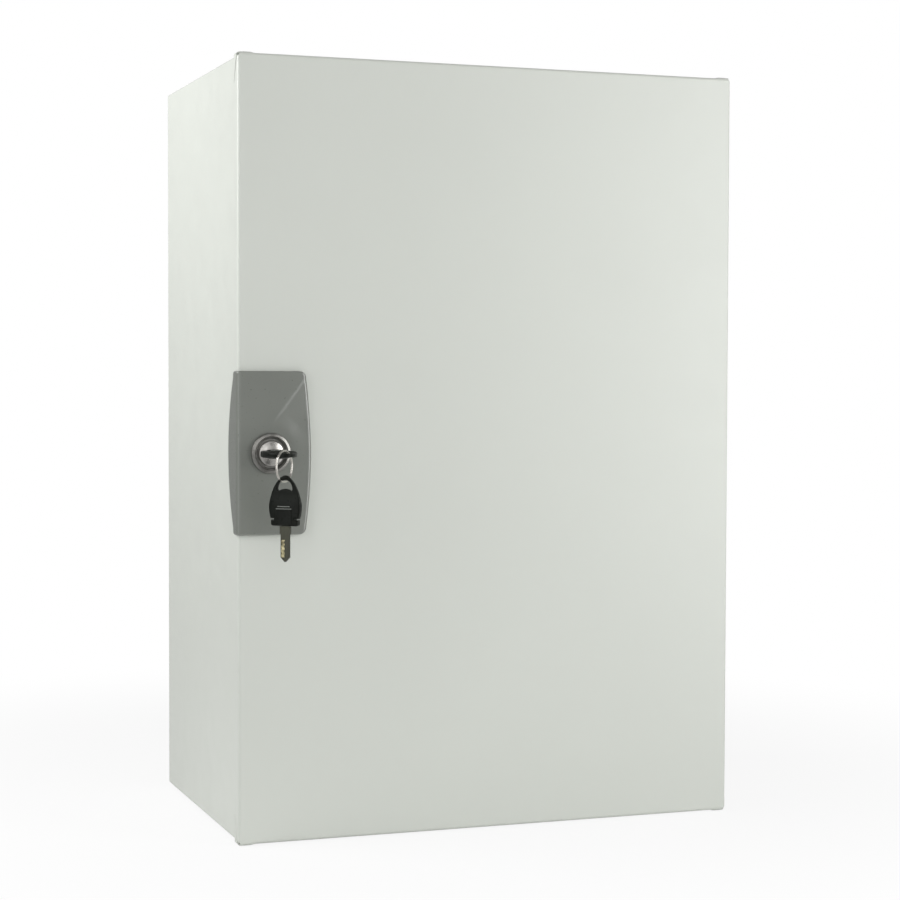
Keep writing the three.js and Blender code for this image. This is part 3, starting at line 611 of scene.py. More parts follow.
def softened(bm, radius, steps=2):
    """Rounds the sharp edges of a mesh."""
    sharp = [e for e in bm.edges if len(e.link_faces) == 2 and e.calc_face_angle() > ROUNDED_ANGLE]
    bmesh.ops.bevel(
        bm, geom=sharp, offset=radius, segments=steps, profile=0.5, affect="EDGES", clamp_overlap=True
    )
    return bm


def mesh_from(bm, name):
    mesh = bpy.data.meshes.new(name)
    bm.to_mesh(mesh)
    bm.free()
    return mesh


def scratch_object(bm):
    """An object that is only there while a mesh is cut."""
    tool = bpy.data.objects.new("tool", mesh_from(bm, "tool"))
    bpy.context.scene.collection.objects.link(tool)
    return tool


def carved(bm, *cutters):
    """The mesh less each cutter."""
    work = scratch_object(bm)
    tools = [scratch_object(cutter) for cutter in cutters]
    for tool in tools:
        modifier = work.modifiers.new("Cut", "BOOLEAN")
        modifier.operation = "DIFFERENCE"
        modifier.solver = "EXACT"
        modifier.object = tool
    bpy.context.view_layer.update()
    result = bmesh.new()
    graph = bpy.context.evaluated_depsgraph_get()
    result.from_object(work, graph)
    for tool in (work, *tools):
        mesh = tool.data
        bpy.data.objects.remove(tool)
        bpy.data.meshes.remove(mesh)
    bmesh.ops.remove_doubles(result, verts=result.verts, dist=TINY)
    return result


def together(parts):
    """Several solids that stand clear of each other in one mesh."""
    whole = bmesh.new()
    for part in parts:
        mesh = mesh_from(part, "part")
        whole.from_mesh(mesh)
        bpy.data.meshes.remove(mesh)
    return whole


def box_solid(low, high):
    bm = bmesh.new()
    bmesh.ops.create_cube(bm, size=1)
    low, high = Vector(low), Vector(high)
    for v in bm.verts:
        v.co = Vector(l + (h - l) * (c + 0.5) for l, h, c in zip(low, high, v.co))
    return bm


def rod_solid(axis, radius, centre, half_length, sides=32):
    """A rod along an axis, as long on both sides of its centre."""
    bm = bmesh.new()
    bmesh.ops.create_cone(
        bm, cap_ends=True, segments=sides, radius1=radius, radius2=radius, depth=2 * half_length
    )
    turn = {"x": Euler((0, math.pi / 2, 0)), "y": Euler((math.pi / 2, 0, 0)), "z": Euler()}[axis]
    bm.transform(Matrix.Translation(centre) @ turn.to_matrix().to_4x4())
    return bm


def sliced(bm, axis, places):
    """Cuts new edges into a mesh where planes across an axis meet it."""
    normal = Vector(float(axis == name) for name in "xyz")
    for place in places:
        geometry = bm.verts[:] + bm.edges[:] + bm.faces[:]
        bmesh.ops.bisect_plane(bm, geom=geometry, dist=TINY, plane_co=normal * place, plane_no=normal)
    return bm


def spread_evenly(low, high, count):
    """Places between two limits, both left out."""
    return [low + (high - low) * i / (count + 1) for i in range(1, count + 1)]


def eased(t):
    """From 0 to 1 with a soft start and end."""
    t = min(1, max(0, t))
    return t * t * (3 - 2 * t)


def keep_flats(mesh):
    """Marks the edges between a flat side and a fold as sharp, so that the side is shaded flat."""
    bm = bmesh.new()
    bm.from_mesh(mesh)
    bm.normal_update()
    for edge in bm.edges:
        flat = [max(abs(c) for c in face.normal) > FLAT_COSINE for face in edge.link_faces]
        if any(flat) and not all(flat):
            edge.smooth = False
    bm.to_mesh(mesh)
    bm.free()


def dress(name, mesh, make, body, slot, *stands_for, place=None, turn=None, flat_sides=False):
    """A finished piece on its body, in place of the frame's nodes that it stands for."""
    piece = bpy.data.objects.new(name, mesh)
    bpy.context.scene.collection.objects.link(piece)
    if not mesh.materials:
        mesh.materials.append(finish(make))
        mesh.shade_smooth()
        mesh.set_sharp_from_angle(angle=SHARP_ANGLE)
        if flat_sides:
            keep_flats(mesh)
    if place is not None:
        piece.location = place
    if turn is not None:
        piece.rotation_euler = turn
    weights = piece.modifiers.new("Even shading", "WEIGHTED_NORMAL")
    weights.keep_sharp = True
    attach(piece, body)
    if stands_for:
        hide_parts(*stands_for)


def dress_node(node, bm, make, slot, name=None, **how):
    """A finished piece in place of one node, on the node's body."""
    dress(name or f"{node}_finished", mesh_from(bm, node), make, body_of(node), slot, node, **how)


def dress_sheet(node, bm, name):
    """A powder-coated sheet in place of its node, its flat sides shaded flat."""
    dress_node(node, bm, powder_coat, "powder_coat", name, flat_sides=True)


def dress_plated(node, radius):
    """A zinc-plated node's own shape with its edges rounded."""
    dress_node(node, softened(copied(node), radius), zinc_steel, "zinc_steel")


# Door and body


def pan_stations(half_width, half_height, radius, reach):
    """Places round a rounded rectangle: x, z, and the outward direction there."""
    stations = []
    corners = [(-1, -1, 180), (1, -1, 270), (1, 1, 0), (-1, 1, 90)]
    steps = settings().metal.steps
    for i, (sx, sz, start) in enumerate(corners):
        centre = (sx * (half_width - radius), sz * (half_height - radius))
        for k in range(steps + 1):
            a = math.radians(start + 90 * k / steps)
            stations.append((*centre, math.cos(a), math.sin(a)))
        tx, tz, _ = corners[(i + 1) % 4]
        goal = (tx * (half_width - radius), tz * (half_height - radius))
        outward = (round(math.cos(math.radians(start + 90))), round(math.sin(math.radians(start + 90))))
        run = math.dist(centre, goal)
        for gone in [*reach, *[run - r for r in reversed(reach)]]:
            at = [c + (g - c) * gone / run for c, g in zip(centre, goal)]
            stations.append((*at, *outward))
    return stations


def fold_section(depth, bend, lip):
    """A fold's section as pairs of inset and depth, from its face round its edge and back."""
    metal = settings().metal
    edge, steps = metal.edge, metal.steps
    section = [(bend - x, bend - y) for y, x in arc((0, 0), bend, 0, 90, steps)]
    section += [(0, depth - edge), (edge, depth), (SHEET - edge, depth), (SHEET, depth - edge)]
    section += [(bend - x, bend - y) for y, x in arc((0, 0), bend - SHEET, 90, 0, steps)]
    if lip:
        section += [(lip - edge, SHEET), (lip, SHEET - edge), (lip, edge), (lip - edge, 0)]
    return section


def folded_pan(half_width, half_height, face, rim, bend, ear=0.0, lip=0.0):
    """A sheet folded back on four sides. A lip leaves its face open, an ear bulges the ends' corners."""
    metal = settings().metal
    way = math.copysign(1, rim - face)
    section = fold_section(abs(rim - face), bend, lip)
    slope_shares = (0.0, 0.35, 0.7, 1.0)
    reach = [metal.ear_length - bend + metal.ear_slope * s for s in slope_shares] if ear else []
    rings = []
    for x, z, nx, nz in pan_stations(half_width, half_height, bend, reach):
        near_end = abs(z) > half_height - 2 * bend and abs(nx) < 1
        fade = eased(1 - (half_width - abs(x) - metal.ear_length) / metal.ear_slope) if near_end else 0
        if abs(nx) == 1 and abs(z) >= half_height - bend - TINY:
            fade = 1
        rise = ear * fade * math.copysign(1, z)
        ring = []
        for inset, deep in section:
            out = bend - inset
            wide, high = half_width - inset, half_height - inset
            px = min(wide, max(-wide, x + nx * out))
            pz = min(high, max(-high, z + nz * out))
            ring.append(Vector((px, face + way * deep, pz + rise * min(1, deep / bend))))
        rings.append(ring)
    bm = bmesh.new()
    loops = skin(bm, rings, whole_rings=bool(lip))
    if not lip:
        bm.faces.new([loop[0] for loop in loops])
        bm.faces.new([loop[-1] for loop in reversed(loops)])
    return tidied(bm)


# Where the slit starts and the relief hole lies behind the door's face, as shares of the door's bend
SLIT_START_SHARE = 0.6
RELIEF_SHARE = 0.8
# Width of the slit at its foot, as a share of its width at the top
SLIT_FOOT_SHARE = 0.3


def slit_solid(side, end, half_width, half_height, face, rim):
    """What is cut out for the slanted slit from a corner of the door down its side fold."""
    metal = settings().metal
    top = half_height + 2 * metal.ear_height
    foot = half_height - metal.slit_length
    width = metal.slit_width if end > 0 else metal.low_slit_width
    start = face + metal.bend * SLIT_START_SHARE
    outline = [
        (start, top),
        (start + width, top),
        (rim + metal.edge, foot),
        (rim - width * SLIT_FOOT_SHARE, foot),
    ]
    depth = (half_width - 2 * metal.bend, half_width + metal.bend)
    return lofted([[Vector((side * x, y, end * z)) for y, z in outline] for x in depth])


class KEYCABINET_OT_door(Operator):
    """Makes the folded door with its corners, slits and holes"""

    bl_idname = "key_cabinet.door"
    bl_label = "Make the door"

    def execute(self, context):
        metal = settings().metal
        low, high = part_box("door_panel")
        half_width, half_height = high.x, high.z - metal.ear_height
        pan = folded_pan(half_width, half_height, low.y, high.y, metal.bend, metal.ear_height)
        barrel, pin = middle_of("lock_barrel"), middle_of("hinge_pin_top")
        tongue_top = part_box("hinge_bracket_top")[1].z
        cuts = [rod_solid("y", size_of("lock_barrel").x / 2 + PLAY, barrel, metal.reach, sides=64)]
        for screw in nodes_like("housing_screw"):
            cuts.append(rod_solid("y", SCREW_RADIUS + PLAY, middle_of(screw), metal.reach))
        for end in (-1, 1):
            pin_end = (pin.x, pin.y, end * half_height)
            cuts.append(rod_solid("z", HINGE_PIN_RADIUS + PLAY, pin_end, THROUGH))
            levels = sorted((end * (tongue_top - TONGUE - 2 * PLAY), end * (half_height - SHEET)))
            notch = (half_width - SHEET - PLAY, low.y + SHEET, levels[0])
            cuts.append(box_solid(notch, (half_width + SHEET, high.y + SHEET, levels[1])))
            for side in (-1, 1):
                cuts.append(slit_solid(side, end, half_width, half_height, low.y, high.y))
                relief_y = low.y + metal.bend * RELIEF_SHARE
                relief = (side * half_width, relief_y, end * (half_height - metal.relief))
                cuts.append(rod_solid("x", metal.relief, relief, metal.bend))
        dress_sheet("door_panel", carved(pan, *cuts), "door_pan")
        return {"FINISHED"}


class KEYCABINET_OT_body(Operator):
    """Makes the folded body with its lip, and the back that closes it"""

    bl_idname = "key_cabinet.body"
    bl_label = "Make the body"

    def execute(self, context):
        self.body()
        self.back()
        return {"FINISHED"}

    def body(self):
        metal = settings().metal
        low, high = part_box("cabinet_shell")
        pan = folded_pan(high.x, high.z, low.y, high.y, metal.body_bend, lip=LIP)
        strike_low, strike_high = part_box("strike_plate")
        middle = (strike_low.z + strike_high.z) / 2
        notch_low = (low.x + STRIKE_EDGE, low.y - SHEET, middle - NOTCH / 2)
        cuts = [box_solid(notch_low, (low.x + LIP + SHEET, low.y + 2 * SHEET, middle + NOTCH / 2))]
        tongue_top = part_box("hinge_bracket_top")[1]
        for end in (-1, 1):
            levels = sorted((end * (tongue_top.z + PLAY), end * (tongue_top.z - TONGUE - PLAY)))
            slot_low = (tongue_top.x - TONGUE_WIDTH - PLAY, low.y - SHEET, levels[0])
            cuts.append(box_solid(slot_low, (tongue_top.x + PLAY, low.y + 2 * SHEET, levels[1])))
        for buffer in nodes_like("door_buffer"):
            at = middle_of(buffer)
            cuts.append(rod_solid("y", BUFFER_STEM + PLAY, (at.x, low.y, at.z), 2 * SHEET))
        dress_sheet("cabinet_shell", carved(pan, together(cuts)), "body_pan")

    def back(self):
        low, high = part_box("back_panel")
        plate = softened(box_solid(low, high), settings().metal.edge, 1)
        inset_x, inset_z = WALL_HOLE_INSET
        holes = []
        for sx in (-1, 1):
            for sz in (-1, 1):
                at = (sx * (high.x - inset_x), 0, sz * (high.z - inset_z))
                holes.append(rod_solid("y", WALL_HOLE_RADIUS, at, THROUGH, sides=40))
        for rivet in nodes_like("upright_rivet"):
            at = middle_of(rivet)
            holes.append(rod_solid("y", RIVET_RADIUS + PLAY, (at.x, 0, at.z), THROUGH, sides=24))
        dress_sheet("back_panel", carved(plate, together(holes)), "back_plate")


def lug_slots(xs, zs, y):
    """What is cut out of a sheet at some depth for the lugs of the rails."""
    half = Vector((LUG_WIDTH + 2 * LUG_PLAY, 2 * THROUGH, LUG_HEIGHT + 2 * LUG_PLAY)) / 2
    places = [Vector((x, y, z)) for x in xs for z in zs]
    return [box_solid(place - half, place + half) for place in places]


class KEYCABINET_OT_page(Operator):
    """Makes the swinging page with its slots and pin holes"""

    bl_idname = "key_cabinet.page"
    bl_label = "Make the page"

    def execute(self, context):
        low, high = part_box("page_panel")
        middle = (low.x + high.x) / 2
        pan = folded_pan(high.x - middle, high.z, high.y, low.y, settings().metal.body_bend)
        pan.transform(Matrix.Translation((middle, 0, 0)))
        rails = nodes_like("page_front_rail") + nodes_like("page_rear_rail")
        spread = size_of(rails[0]).x / 2 * LUG_SHARE
        cuts = lug_slots((middle - spread, middle + spread), [middle_of(rail).z for rail in rails], high.y)
        pin = middle_of("page_pin_top")
        for end in (-1, 1):
            cuts.append(rod_solid("z", PAGE_PIN_RADIUS + PLAY, (pin.x, pin.y, end * high.z), THROUGH))
        dress_sheet("page_panel", carved(pan, together(cuts)), "page_pan")
        return {"FINISHED"}


# Lock housing


def rounded_off(radius, from_end):
    """How far a rounded end draws a surface in, at some distance from the end."""
    if from_end >= radius:
        return 0.0
    return radius - math.sqrt(max(0, radius**2 - (radius - from_end) ** 2))


def housing_section(z, low, high, half_height, door_left, door_front):
    """One level section of the housing: its front, its round edge, its wing and its inner faces."""
    sizes = settings().housing
    up = half_height - abs(z)
    bow = 1 - min(1, abs(z) / (half_height - sizes.corner)) ** 2
    missing = rounded_off(sizes.corner, up)
    right_end, wing_end = door_left + sizes.end_width, door_front + sizes.end_wing
    right = right_end + (high.x - right_end) * bow - missing
    wing = wing_end + (high.y - wing_end) * bow - missing / 2
    drawn_in = rounded_off(sizes.end_round, up)
    front, outside = low.y + drawn_in, low.x + drawn_in
    rest, inside = door_front - PLAY, door_left - PLAY
    edge = min(sizes.right_round, rest - front - PLAY)
    points = [(right, rest)]
    points += arc((right - edge, front + edge), edge, 0, -90, steps=6)
    turn_x, turn_y = outside + sizes.left_round, front + sizes.left_round
    points += [(x, front) for x in spread_evenly(right - edge, turn_x, sizes.columns)]
    points += arc((turn_x, turn_y), sizes.left_round, -90, -180, steps=8)
    seam, tip, half_wall = sizes.seam, sizes.wall / 2, (inside - outside) / 2
    seam_x = outside + min(seam, half_wall)
    points += [(seam_x, turn_y + seam / 2), (seam_x, turn_y + seam), (outside, turn_y + 1.5 * seam)]
    tip_x = outside + min(tip / 2, half_wall)
    points += [(outside, wing - tip), (tip_x, wing), (inside, wing), (inside, rest)]
    return [Vector((x, y, z)) for x, y in points]


# Levels of the housing's end edges as angles round them, and of its corners as shares of their radius
END_ANGLES = range(0, 91, 18)
CORNER_LEVELS = (0.4, 0.55, 0.75, 1.0)


def housing_levels(half_height):
    """Heights of the housing's sections, closest together at its rounded ends."""
    sizes = settings().housing
    ends = [half_height - sizes.end_round * (1 - math.cos(math.radians(a))) for a in END_ANGLES]
    corner_levels = [half_height - sizes.corner * s for s in CORNER_LEVELS]
    upper = [*ends, *corner_levels, *spread_evenly(corner_levels[-1], 0, sizes.rows), 0.0]
    return [-z for z in upper] + upper[-2::-1]


def shape_grip(bm, axis_x, front, rest):
    """Lets the upper finger side step down along a slanted crease and fall away beyond it."""
    sizes = settings().housing
    foot, top = Vector(sizes.crease_foot), Vector(sizes.crease_top)
    along = (top - foot).normalized()
    across = Vector((along.y, -along.x))
    for v in bm.verts:
        if v.co.y > rest - PLAY or v.co.z < 0:
            continue
        beyond = (Vector((v.co.x - axis_x, v.co.z)) - foot).dot(across)
        reach = math.dist((v.co.x, v.co.z), (axis_x, 0))
        mask = eased((reach - sizes.plain_radius) / sizes.plain_fade) * eased(v.co.z / foot.y)
        fall = sizes.step * eased(beyond / sizes.step_width)
        fall += sizes.grip_drop * min(1, max(0, beyond) / sizes.grip_width)
        v.co.y += fall * mask * (rest - v.co.y) / (rest - front)


class KEYCABINET_OT_housing(Operator):
    """Makes the lock housing with its grip, round edge and side wing"""

    bl_idname = "key_cabinet.housing"
    bl_label = "Make the lock housing"

    def execute(self, context):
        low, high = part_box("lock_housing")
        door_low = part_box("door_panel")[0]
        barrel = middle_of("lock_barrel")
        half_height = (high.z - low.z) / 2
        rings = [
            housing_section(z, low, high, half_height, door_low.x, door_low.y)
            for z in housing_levels(half_height)
        ]
        bm = tidied(lofted(rings))
        shape_grip(bm, barrel.x, low.y, door_low.y - PLAY)
        bm.transform(Matrix.Translation((0, 0, (high.z + low.z) / 2)))
        hole_radius = size_of("lock_barrel").x / 2 + PLAY
        hole = rod_solid("y", hole_radius, barrel, settings().metal.reach * 2, sides=64)
        dress_node("lock_housing", carved(bm, hole), housing_plastic, "housing_plastic", "grip_housing")
        return {"FINISHED"}


# Lock


def at_axis(node):
    """A node's place with its height along Y left at zero."""
    centre = middle_of(node)
    return Vector((centre.x, 0, centre.z))


def bezel_profile():
    """The collar round the cylinder: a grooved rim that slopes off to its outer edge."""
    sizes = settings().lock
    low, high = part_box("lock_bezel")
    outer, inner = (high.x - low.x) / 2, size_of("lock_barrel").x / 2 + PLAY
    front, back, bore, groove = low.y, high.y, sizes.bore, sizes.groove
    soft = sizes.rim_round
    flat = (bore + outer - sizes.slope) / 2
    points = [(inner, back), (inner, back - sizes.floor), (bore, back - sizes.floor), (bore, front + soft)]
    points += arc((bore + soft, front + soft), soft, 180, 270, steps=5)
    points += [(flat - groove, front), (flat, front + groove), (flat + groove, front)]
    points += [(outer - sizes.slope, front + groove / 4)]
    points += arc((outer - soft, front + groove + soft), soft, -75, 0, steps=6)
    return points + [(outer, back - PLAY), (outer - PLAY, back)]


def head_profile(front, back, radius):
    """The domed head of the cylinder, from its middle to its back."""
    sizes = settings().lock
    edge = sizes.crown_round
    steps = 14
    points = [((radius - edge) * i / steps, front + sizes.dome * (i / steps) ** 2) for i in range(steps + 1)]
    points += arc((radius - edge, front + sizes.dome + edge), edge, -90, 0, steps=5)[1:]
    return points + [(radius, back)]


def barrel_profile():
    """A tube whose outside has the ridges of a fine thread behind the door."""
    sizes = settings().lock
    low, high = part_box("lock_barrel")
    outer, inner = (high.x - low.x) / 2, sizes.plug_radius + PLAY
    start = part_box("door_panel")[0].y + sizes.thread_start
    turns = int((high.y - start) / sizes.thread_pitch)
    points = [(inner, low.y), (outer, low.y)]
    for i in range(turns):
        y = start + i * sizes.thread_pitch
        points += [(outer, y), (outer - sizes.thread_depth, y + sizes.thread_pitch / 2)]
    end = start + turns * sizes.thread_pitch
    return points + [(outer, end), (outer - PLAY, high.y), (inner, high.y)]


class KEYCABINET_OT_lock(Operator):
    """Makes the lock's collar, barrel, cylinder, nut, cam and its screw"""

    bl_idname = "key_cabinet.lock"
    bl_label = "Make the lock"

    def execute(self, context):
        sides = settings().lock.sides
        place = at_axis("lock_barrel")
        bezel, barrel = turned(bezel_profile(), sides), turned(barrel_profile(), sides)
        dress_node("lock_bezel", bezel, turned_nickel, "bezel_metal", "bezel_ring", place=place)
        dress_node("lock_barrel", barrel, bright_nickel, "nickel", "barrel_tube", place=place)
        self.cylinder(place, sides)
        dress_plated("lock_nut", NUT_ROUND)
        dress_plated("lock_cam", NUT_ROUND)
        dress_screw("cam_screw", CAM_SCREW)
        return {"FINISHED"}

    def cylinder(self, place, sides):
        low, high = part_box("lock_plug")
        plug_radius = settings().lock.plug_radius
        head_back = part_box("lock_barrel")[0].y - PLAY
        profile = head_profile(low.y, head_back, (high.x - low.x) / 2)
        profile += [(plug_radius, head_back), (plug_radius, high.y), (0, high.y)]
        half_width, half_thick = BLADE[0] / 2 + PLAY, BLADE_THICKNESS / 2 + PLAY
        slot_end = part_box("key_blade")[1].y + PLAY
        slot = box_solid((-half_width, low.y - SHEET, -half_thick), (half_width, slot_end, half_thick))
        cylinder = carved(turned(profile, sides), slot)
        dress_node("lock_plug", cylinder, cylinder_nickel, "nickel", "cylinder_head", place=place)


# A screw's crown and its recess as shares of the head's height, and the crown's fall before its edge
CROWN_SHARE = 0.45
RECESS_SHARE = 0.5
CROWN_FALL = 0.5
# Places of the crown's facets, and half length and half width of the cross, as shares of the head's radius
CROWN_PLACES = (0.3, 0.6, 0.85)
CROSS_SHARES = (0.55, 0.14)


def screw_solid(head_radius, shank, face, whole):
    """A screw along Y whose domed head with its cross recess ends at the given face."""
    shank_radius, head = shank
    crown = head * CROWN_SHARE
    points = [(0, 0)]
    points += [(head_radius * s, -crown * s * s * CROWN_FALL) for s in CROWN_PLACES]
    points += [(head_radius, -crown), (head_radius, -head), (shank_radius, -head)]
    points += [(shank_radius, -whole + shank_radius), (0, -whole)]
    arm, width = [head_radius * s for s in CROSS_SHARES]
    deep = head * RECESS_SHARE
    low, high = face - deep, face + head
    return carved(
        turned([(r, face + y) for r, y in points], sides=32),
        box_solid((-arm, low, -width), (arm, high, width)),
        box_solid((-width, low, -arm), (width, high, arm)),
    )


def dress_screw(node, shank):
    """A screw in place of its node, driven in from behind."""
    low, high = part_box(node)
    screw = screw_solid((high.x - low.x) / 2, shank, high.y, high.y - low.y)
    dress_node(node, screw, zinc_steel, "zinc_steel", place=at_axis(node))


# Keys and ring


def upright_solid(curve):
    """The solid of a flat curve or text, stood up with its thickness along Y."""
    shape = bpy.data.objects.new(curve.name, curve)
    bpy.context.scene.collection.objects.link(shape)
    bpy.context.view_layer.update()
    mesh = bpy.data.meshes.new_from_object(shape.evaluated_get(bpy.context.evaluated_depsgraph_get()))
    bm = bmesh.new()
    bm.from_mesh(mesh)
    bpy.data.objects.remove(shape)
    bpy.data.curves.remove(curve)
    bpy.data.meshes.remove(mesh)
    bm.transform(Euler((math.pi / 2, 0, 0)).to_matrix().to_4x4())
    return bm


def curve_mesh(splines, half, round_off, name):
    """A flat shape of closed outlines, made solid with rounded edges. Its thickness runs along Y."""
    curve = bpy.data.curves.new(name, "CURVE")
    curve.dimensions = "2D"
    curve.fill_mode = "BOTH"
    curve.extrude = half - round_off
    curve.bevel_depth = round_off
    curve.bevel_resolution = 3
    curve.offset = -round_off
    for points in splines:
        spline = curve.splines.new("POLY")
        spline.points.add(len(points) - 1)
        for point, (x, z) in zip(spline.points, points):
            point.co = (x, z, 0, 1)
        spline.use_cyclic_u = True
    return tidied(upright_solid(curve))


def bezier(start, handle, end, steps=10):
    """Points of a quadratic curve after its start."""
    points = []
    for i in range(1, steps + 1):
        t = i / steps
        points.append(
            tuple((1 - t) ** 2 * a + 2 * t * (1 - t) * b + t * t * c for a, b, c in zip(start, handle, end))
        )
    return points


# The ends and handles of the bow's curves, as shares of half its width and of its height
BOW_END_SHARES = ((0.86, 0), (0.88, 0.14), (0.98, 0.44), (0.36, 0.93))
BOW_HANDLE_SHARES = ((1.02, 0.3), (0.84, 0.76), (0, 1.07))
# How far below its hole's top the bow is thin, in heights of the hole, and the handle of the hole's arch
BOW_THIN_SHARE = 1.3
HOLE_ROUND_SHARE = 0.9
# How many cuts across and up let the bow and its panel follow their crown
BOW_COLUMNS, BOW_ROWS, PANEL_COLUMNS = 11, 17, 7
# How much of the panel's rise is rounded off at its edges
PANEL_EDGE_SHARE = 0.6
BLADE_ROUND = BLADE_THICKNESS / 12
# Depths between which the brass floor of the track lies, as shares of the track's own depth
TRACK_FLOOR_SHARES = (1.2, 0.8)
# The track's way from side to side, at even steps down the blade
TRACK_SWING_SHARES = (0.0, 1.0, 0.2, 0.9, 0.3, 1.0, 0.1, 0.8, 0.4)


def bow_outline():
    """The bow's outline from its foot, up the right side and down the left, notched near the foot."""
    keys = settings().keys
    width, height = KEY_BOW

    def at(share, side=1):
        return (side * share[0] * width / 2, share[1] * height)

    foot, waist, wide, peak = BOW_END_SHARES
    belly, shoulder, tip = BOW_HANDLE_SHARES
    half_notch = keys.notch_height / 2
    foot_round = 1.5 * keys.bow_round
    fx, fz = at(foot)
    low_edge, high_edge = keys.notch_rise - half_notch, keys.notch_rise + half_notch
    right = arc((fx - foot_round, fz + foot_round), foot_round, -90, 0, steps=4)
    right += [(fx, low_edge), (fx - keys.notch_depth, low_edge), (fx - keys.notch_depth, high_edge)]
    right += [(at(waist)[0], high_edge)]
    right += bezier(right[-1], at(belly), at(wide))
    right += bezier(at(wide), at(shoulder), at(peak), steps=14)
    top = bezier(at(peak), at(tip), at(peak, -1), steps=12)
    left = [(-x, z) for x, z in reversed(right)]
    return right + top[:-1] + left


def hole_outline(top):
    """The arched hole of the bow, with rounded lower corners and a mound between them."""
    keys = settings().keys
    ease, corner = keys.hole_ease, keys.bow_round
    half_width, foot = KEY_HOLE[0] / 2 + ease, top - KEY_HOLE[1] - ease
    top += ease
    right = arc((half_width - corner, foot + corner), corner, -90, 0, steps=4)
    half = right + bezier(right[-1], (half_width * HOLE_ROUND_SHARE, top), (0, top))
    arch = half + [(-x, z) for x, z in reversed(half[:-1])]
    return arch + bezier(arch[-1], (0, foot + 2 * keys.hole_mound), arch[0], steps=8)[:-1]


def crowned(x):
    """How much less than in its middle the bow's face stands out, at some place across."""
    return settings().keys.crown * (2 * x / KEY_BOW[0]) ** 2


def bow_mesh(thickness):
    """The moulded bow in its own frame: foot at the origin, tip up, thickness along Y."""
    keys = settings().keys
    width, height = KEY_BOW
    half = thickness / 2 - keys.panel_rise
    hole_top = height - KEY_HOLE_DROP
    bm = curve_mesh([bow_outline(), hole_outline(hole_top)], half, keys.bow_round, "bow")
    thin_to = hole_top - KEY_HOLE[1] * BOW_THIN_SHARE
    sliced(bm, "x", spread_evenly(-width / 2, width / 2, BOW_COLUMNS))
    sliced(bm, "z", spread_evenly(0, height, BOW_ROWS))
    for v in bm.verts:
        thinned = eased((v.co.z - thin_to + keys.thinning) / keys.thinning)
        face = (half - crowned(v.co.x)) * (1 - thinned) + KEY_RIM / 2 * thinned
        v.co.y *= face / half
    return tidied(bm)


def rounded_box(half_width, low, high, corner):
    """The outline of a box with rounded corners, between two heights."""
    foot, head = low + corner, high - corner
    points = []
    for side, z, start in ((1, foot, -90), (1, head, 0), (-1, head, 90), (-1, foot, 180)):
        points += arc((side * (half_width - corner), z), corner, start, start + 90, steps=3)
    return points


def raised_mesh(thickness, panels):
    """Raised panels on both faces of the bow, each from its width and its lower and upper edge."""
    keys = settings().keys
    parts = []
    for width, low, high in panels:
        corner = min(keys.panel_round, (high - low) / 3)
        outline = rounded_box(width / 2, low, high, corner)
        parts.append(curve_mesh([outline], thickness / 2, keys.panel_rise * PANEL_EDGE_SHARE, "panel"))
    bm = together(parts)
    sliced(bm, "x", spread_evenly(-keys.panel_width / 2, keys.panel_width / 2, PANEL_COLUMNS))
    for v in bm.verts:
        v.co.y -= math.copysign(crowned(v.co.x), v.co.y)
    return tidied(bm)


def bow_panel_mesh(thickness):
    """The panel, up to just below the rib on its upper edge."""
    keys = settings().keys
    panel_high = keys.panel_foot + keys.panel_height - keys.rib_height - PLAY / 2
    return raised_mesh(thickness, [(keys.panel_width, keys.panel_foot, panel_high)])


def bow_ribs_mesh(thickness):
    """Two fine ribs, one on the panel's upper edge and one above it."""
    keys = settings().keys
    panel_high = keys.panel_foot + keys.panel_height
    ribs = ((keys.panel_width, panel_high), (keys.rib_length, keys.rib_place + keys.rib_height / 2))
    return raised_mesh(thickness, [(width, high - keys.rib_height, high) for width, high in ribs])


def blade_outline():
    """The blade from its tip, with its shoulder, to the end of its tang."""
    b, s, t = BLADE[0] / 2, SHOULDER[0] / 2, TANG[0] / 2
    tip, point, shoulder = -BLADE[1], BLADE_POINT - BLADE[1], -SHOULDER[1]
    right = [(PLAY, tip), (b, point), (b, shoulder), (s, shoulder), (s, -PLAY), (t, -PLAY), (t, TANG[1])]
    return right + [(-x, z) for x, z in reversed(right)]


def track_solid(face, depth, half_width, rise):
    """A zigzag ribbon on one face of the blade, down to a depth and up to a rise."""
    keys = settings().keys
    start = SHOULDER[1] + keys.track_start
    run = BLADE[1] - BLADE_POINT - start
    y_low, y_high = sorted((face * (BLADE_THICKNESS / 2 - depth), face * (BLADE_THICKNESS / 2 + rise)))
    rings = []
    for i, swing in enumerate(TRACK_SWING_SHARES):
        z = -start - run * i / (len(TRACK_SWING_SHARES) - 1)
        x = face * (keys.track_side + keys.track_swing * swing)
        corners = ((-1, y_low), (1, y_low), (1, y_high), (-1, y_high))
        rings.append([Vector((x + side * half_width, y, z)) for side, y in corners])
    return lofted(rings)


def blade_mesh():
    """The blade with a milled track in each face and rounded edges."""
    keys = settings().keys
    bm = curve_mesh([blade_outline()], BLADE_THICKNESS / 2, BLADE_ROUND, "blade")
    half = keys.track_width / 2
    tracks = [track_solid(face, keys.track_depth, half, keys.track_depth) for face in (-1, 1)]
    return carved(bm, together(tracks))


def track_floor_mesh():
    """The bright floor of both milled tracks."""
    keys = settings().keys
    low, high = [keys.track_depth * share for share in TRACK_FLOOR_SHARES]
    return together([track_solid(face, low, keys.track_width / 2, -high) for face in (-1, 1)])


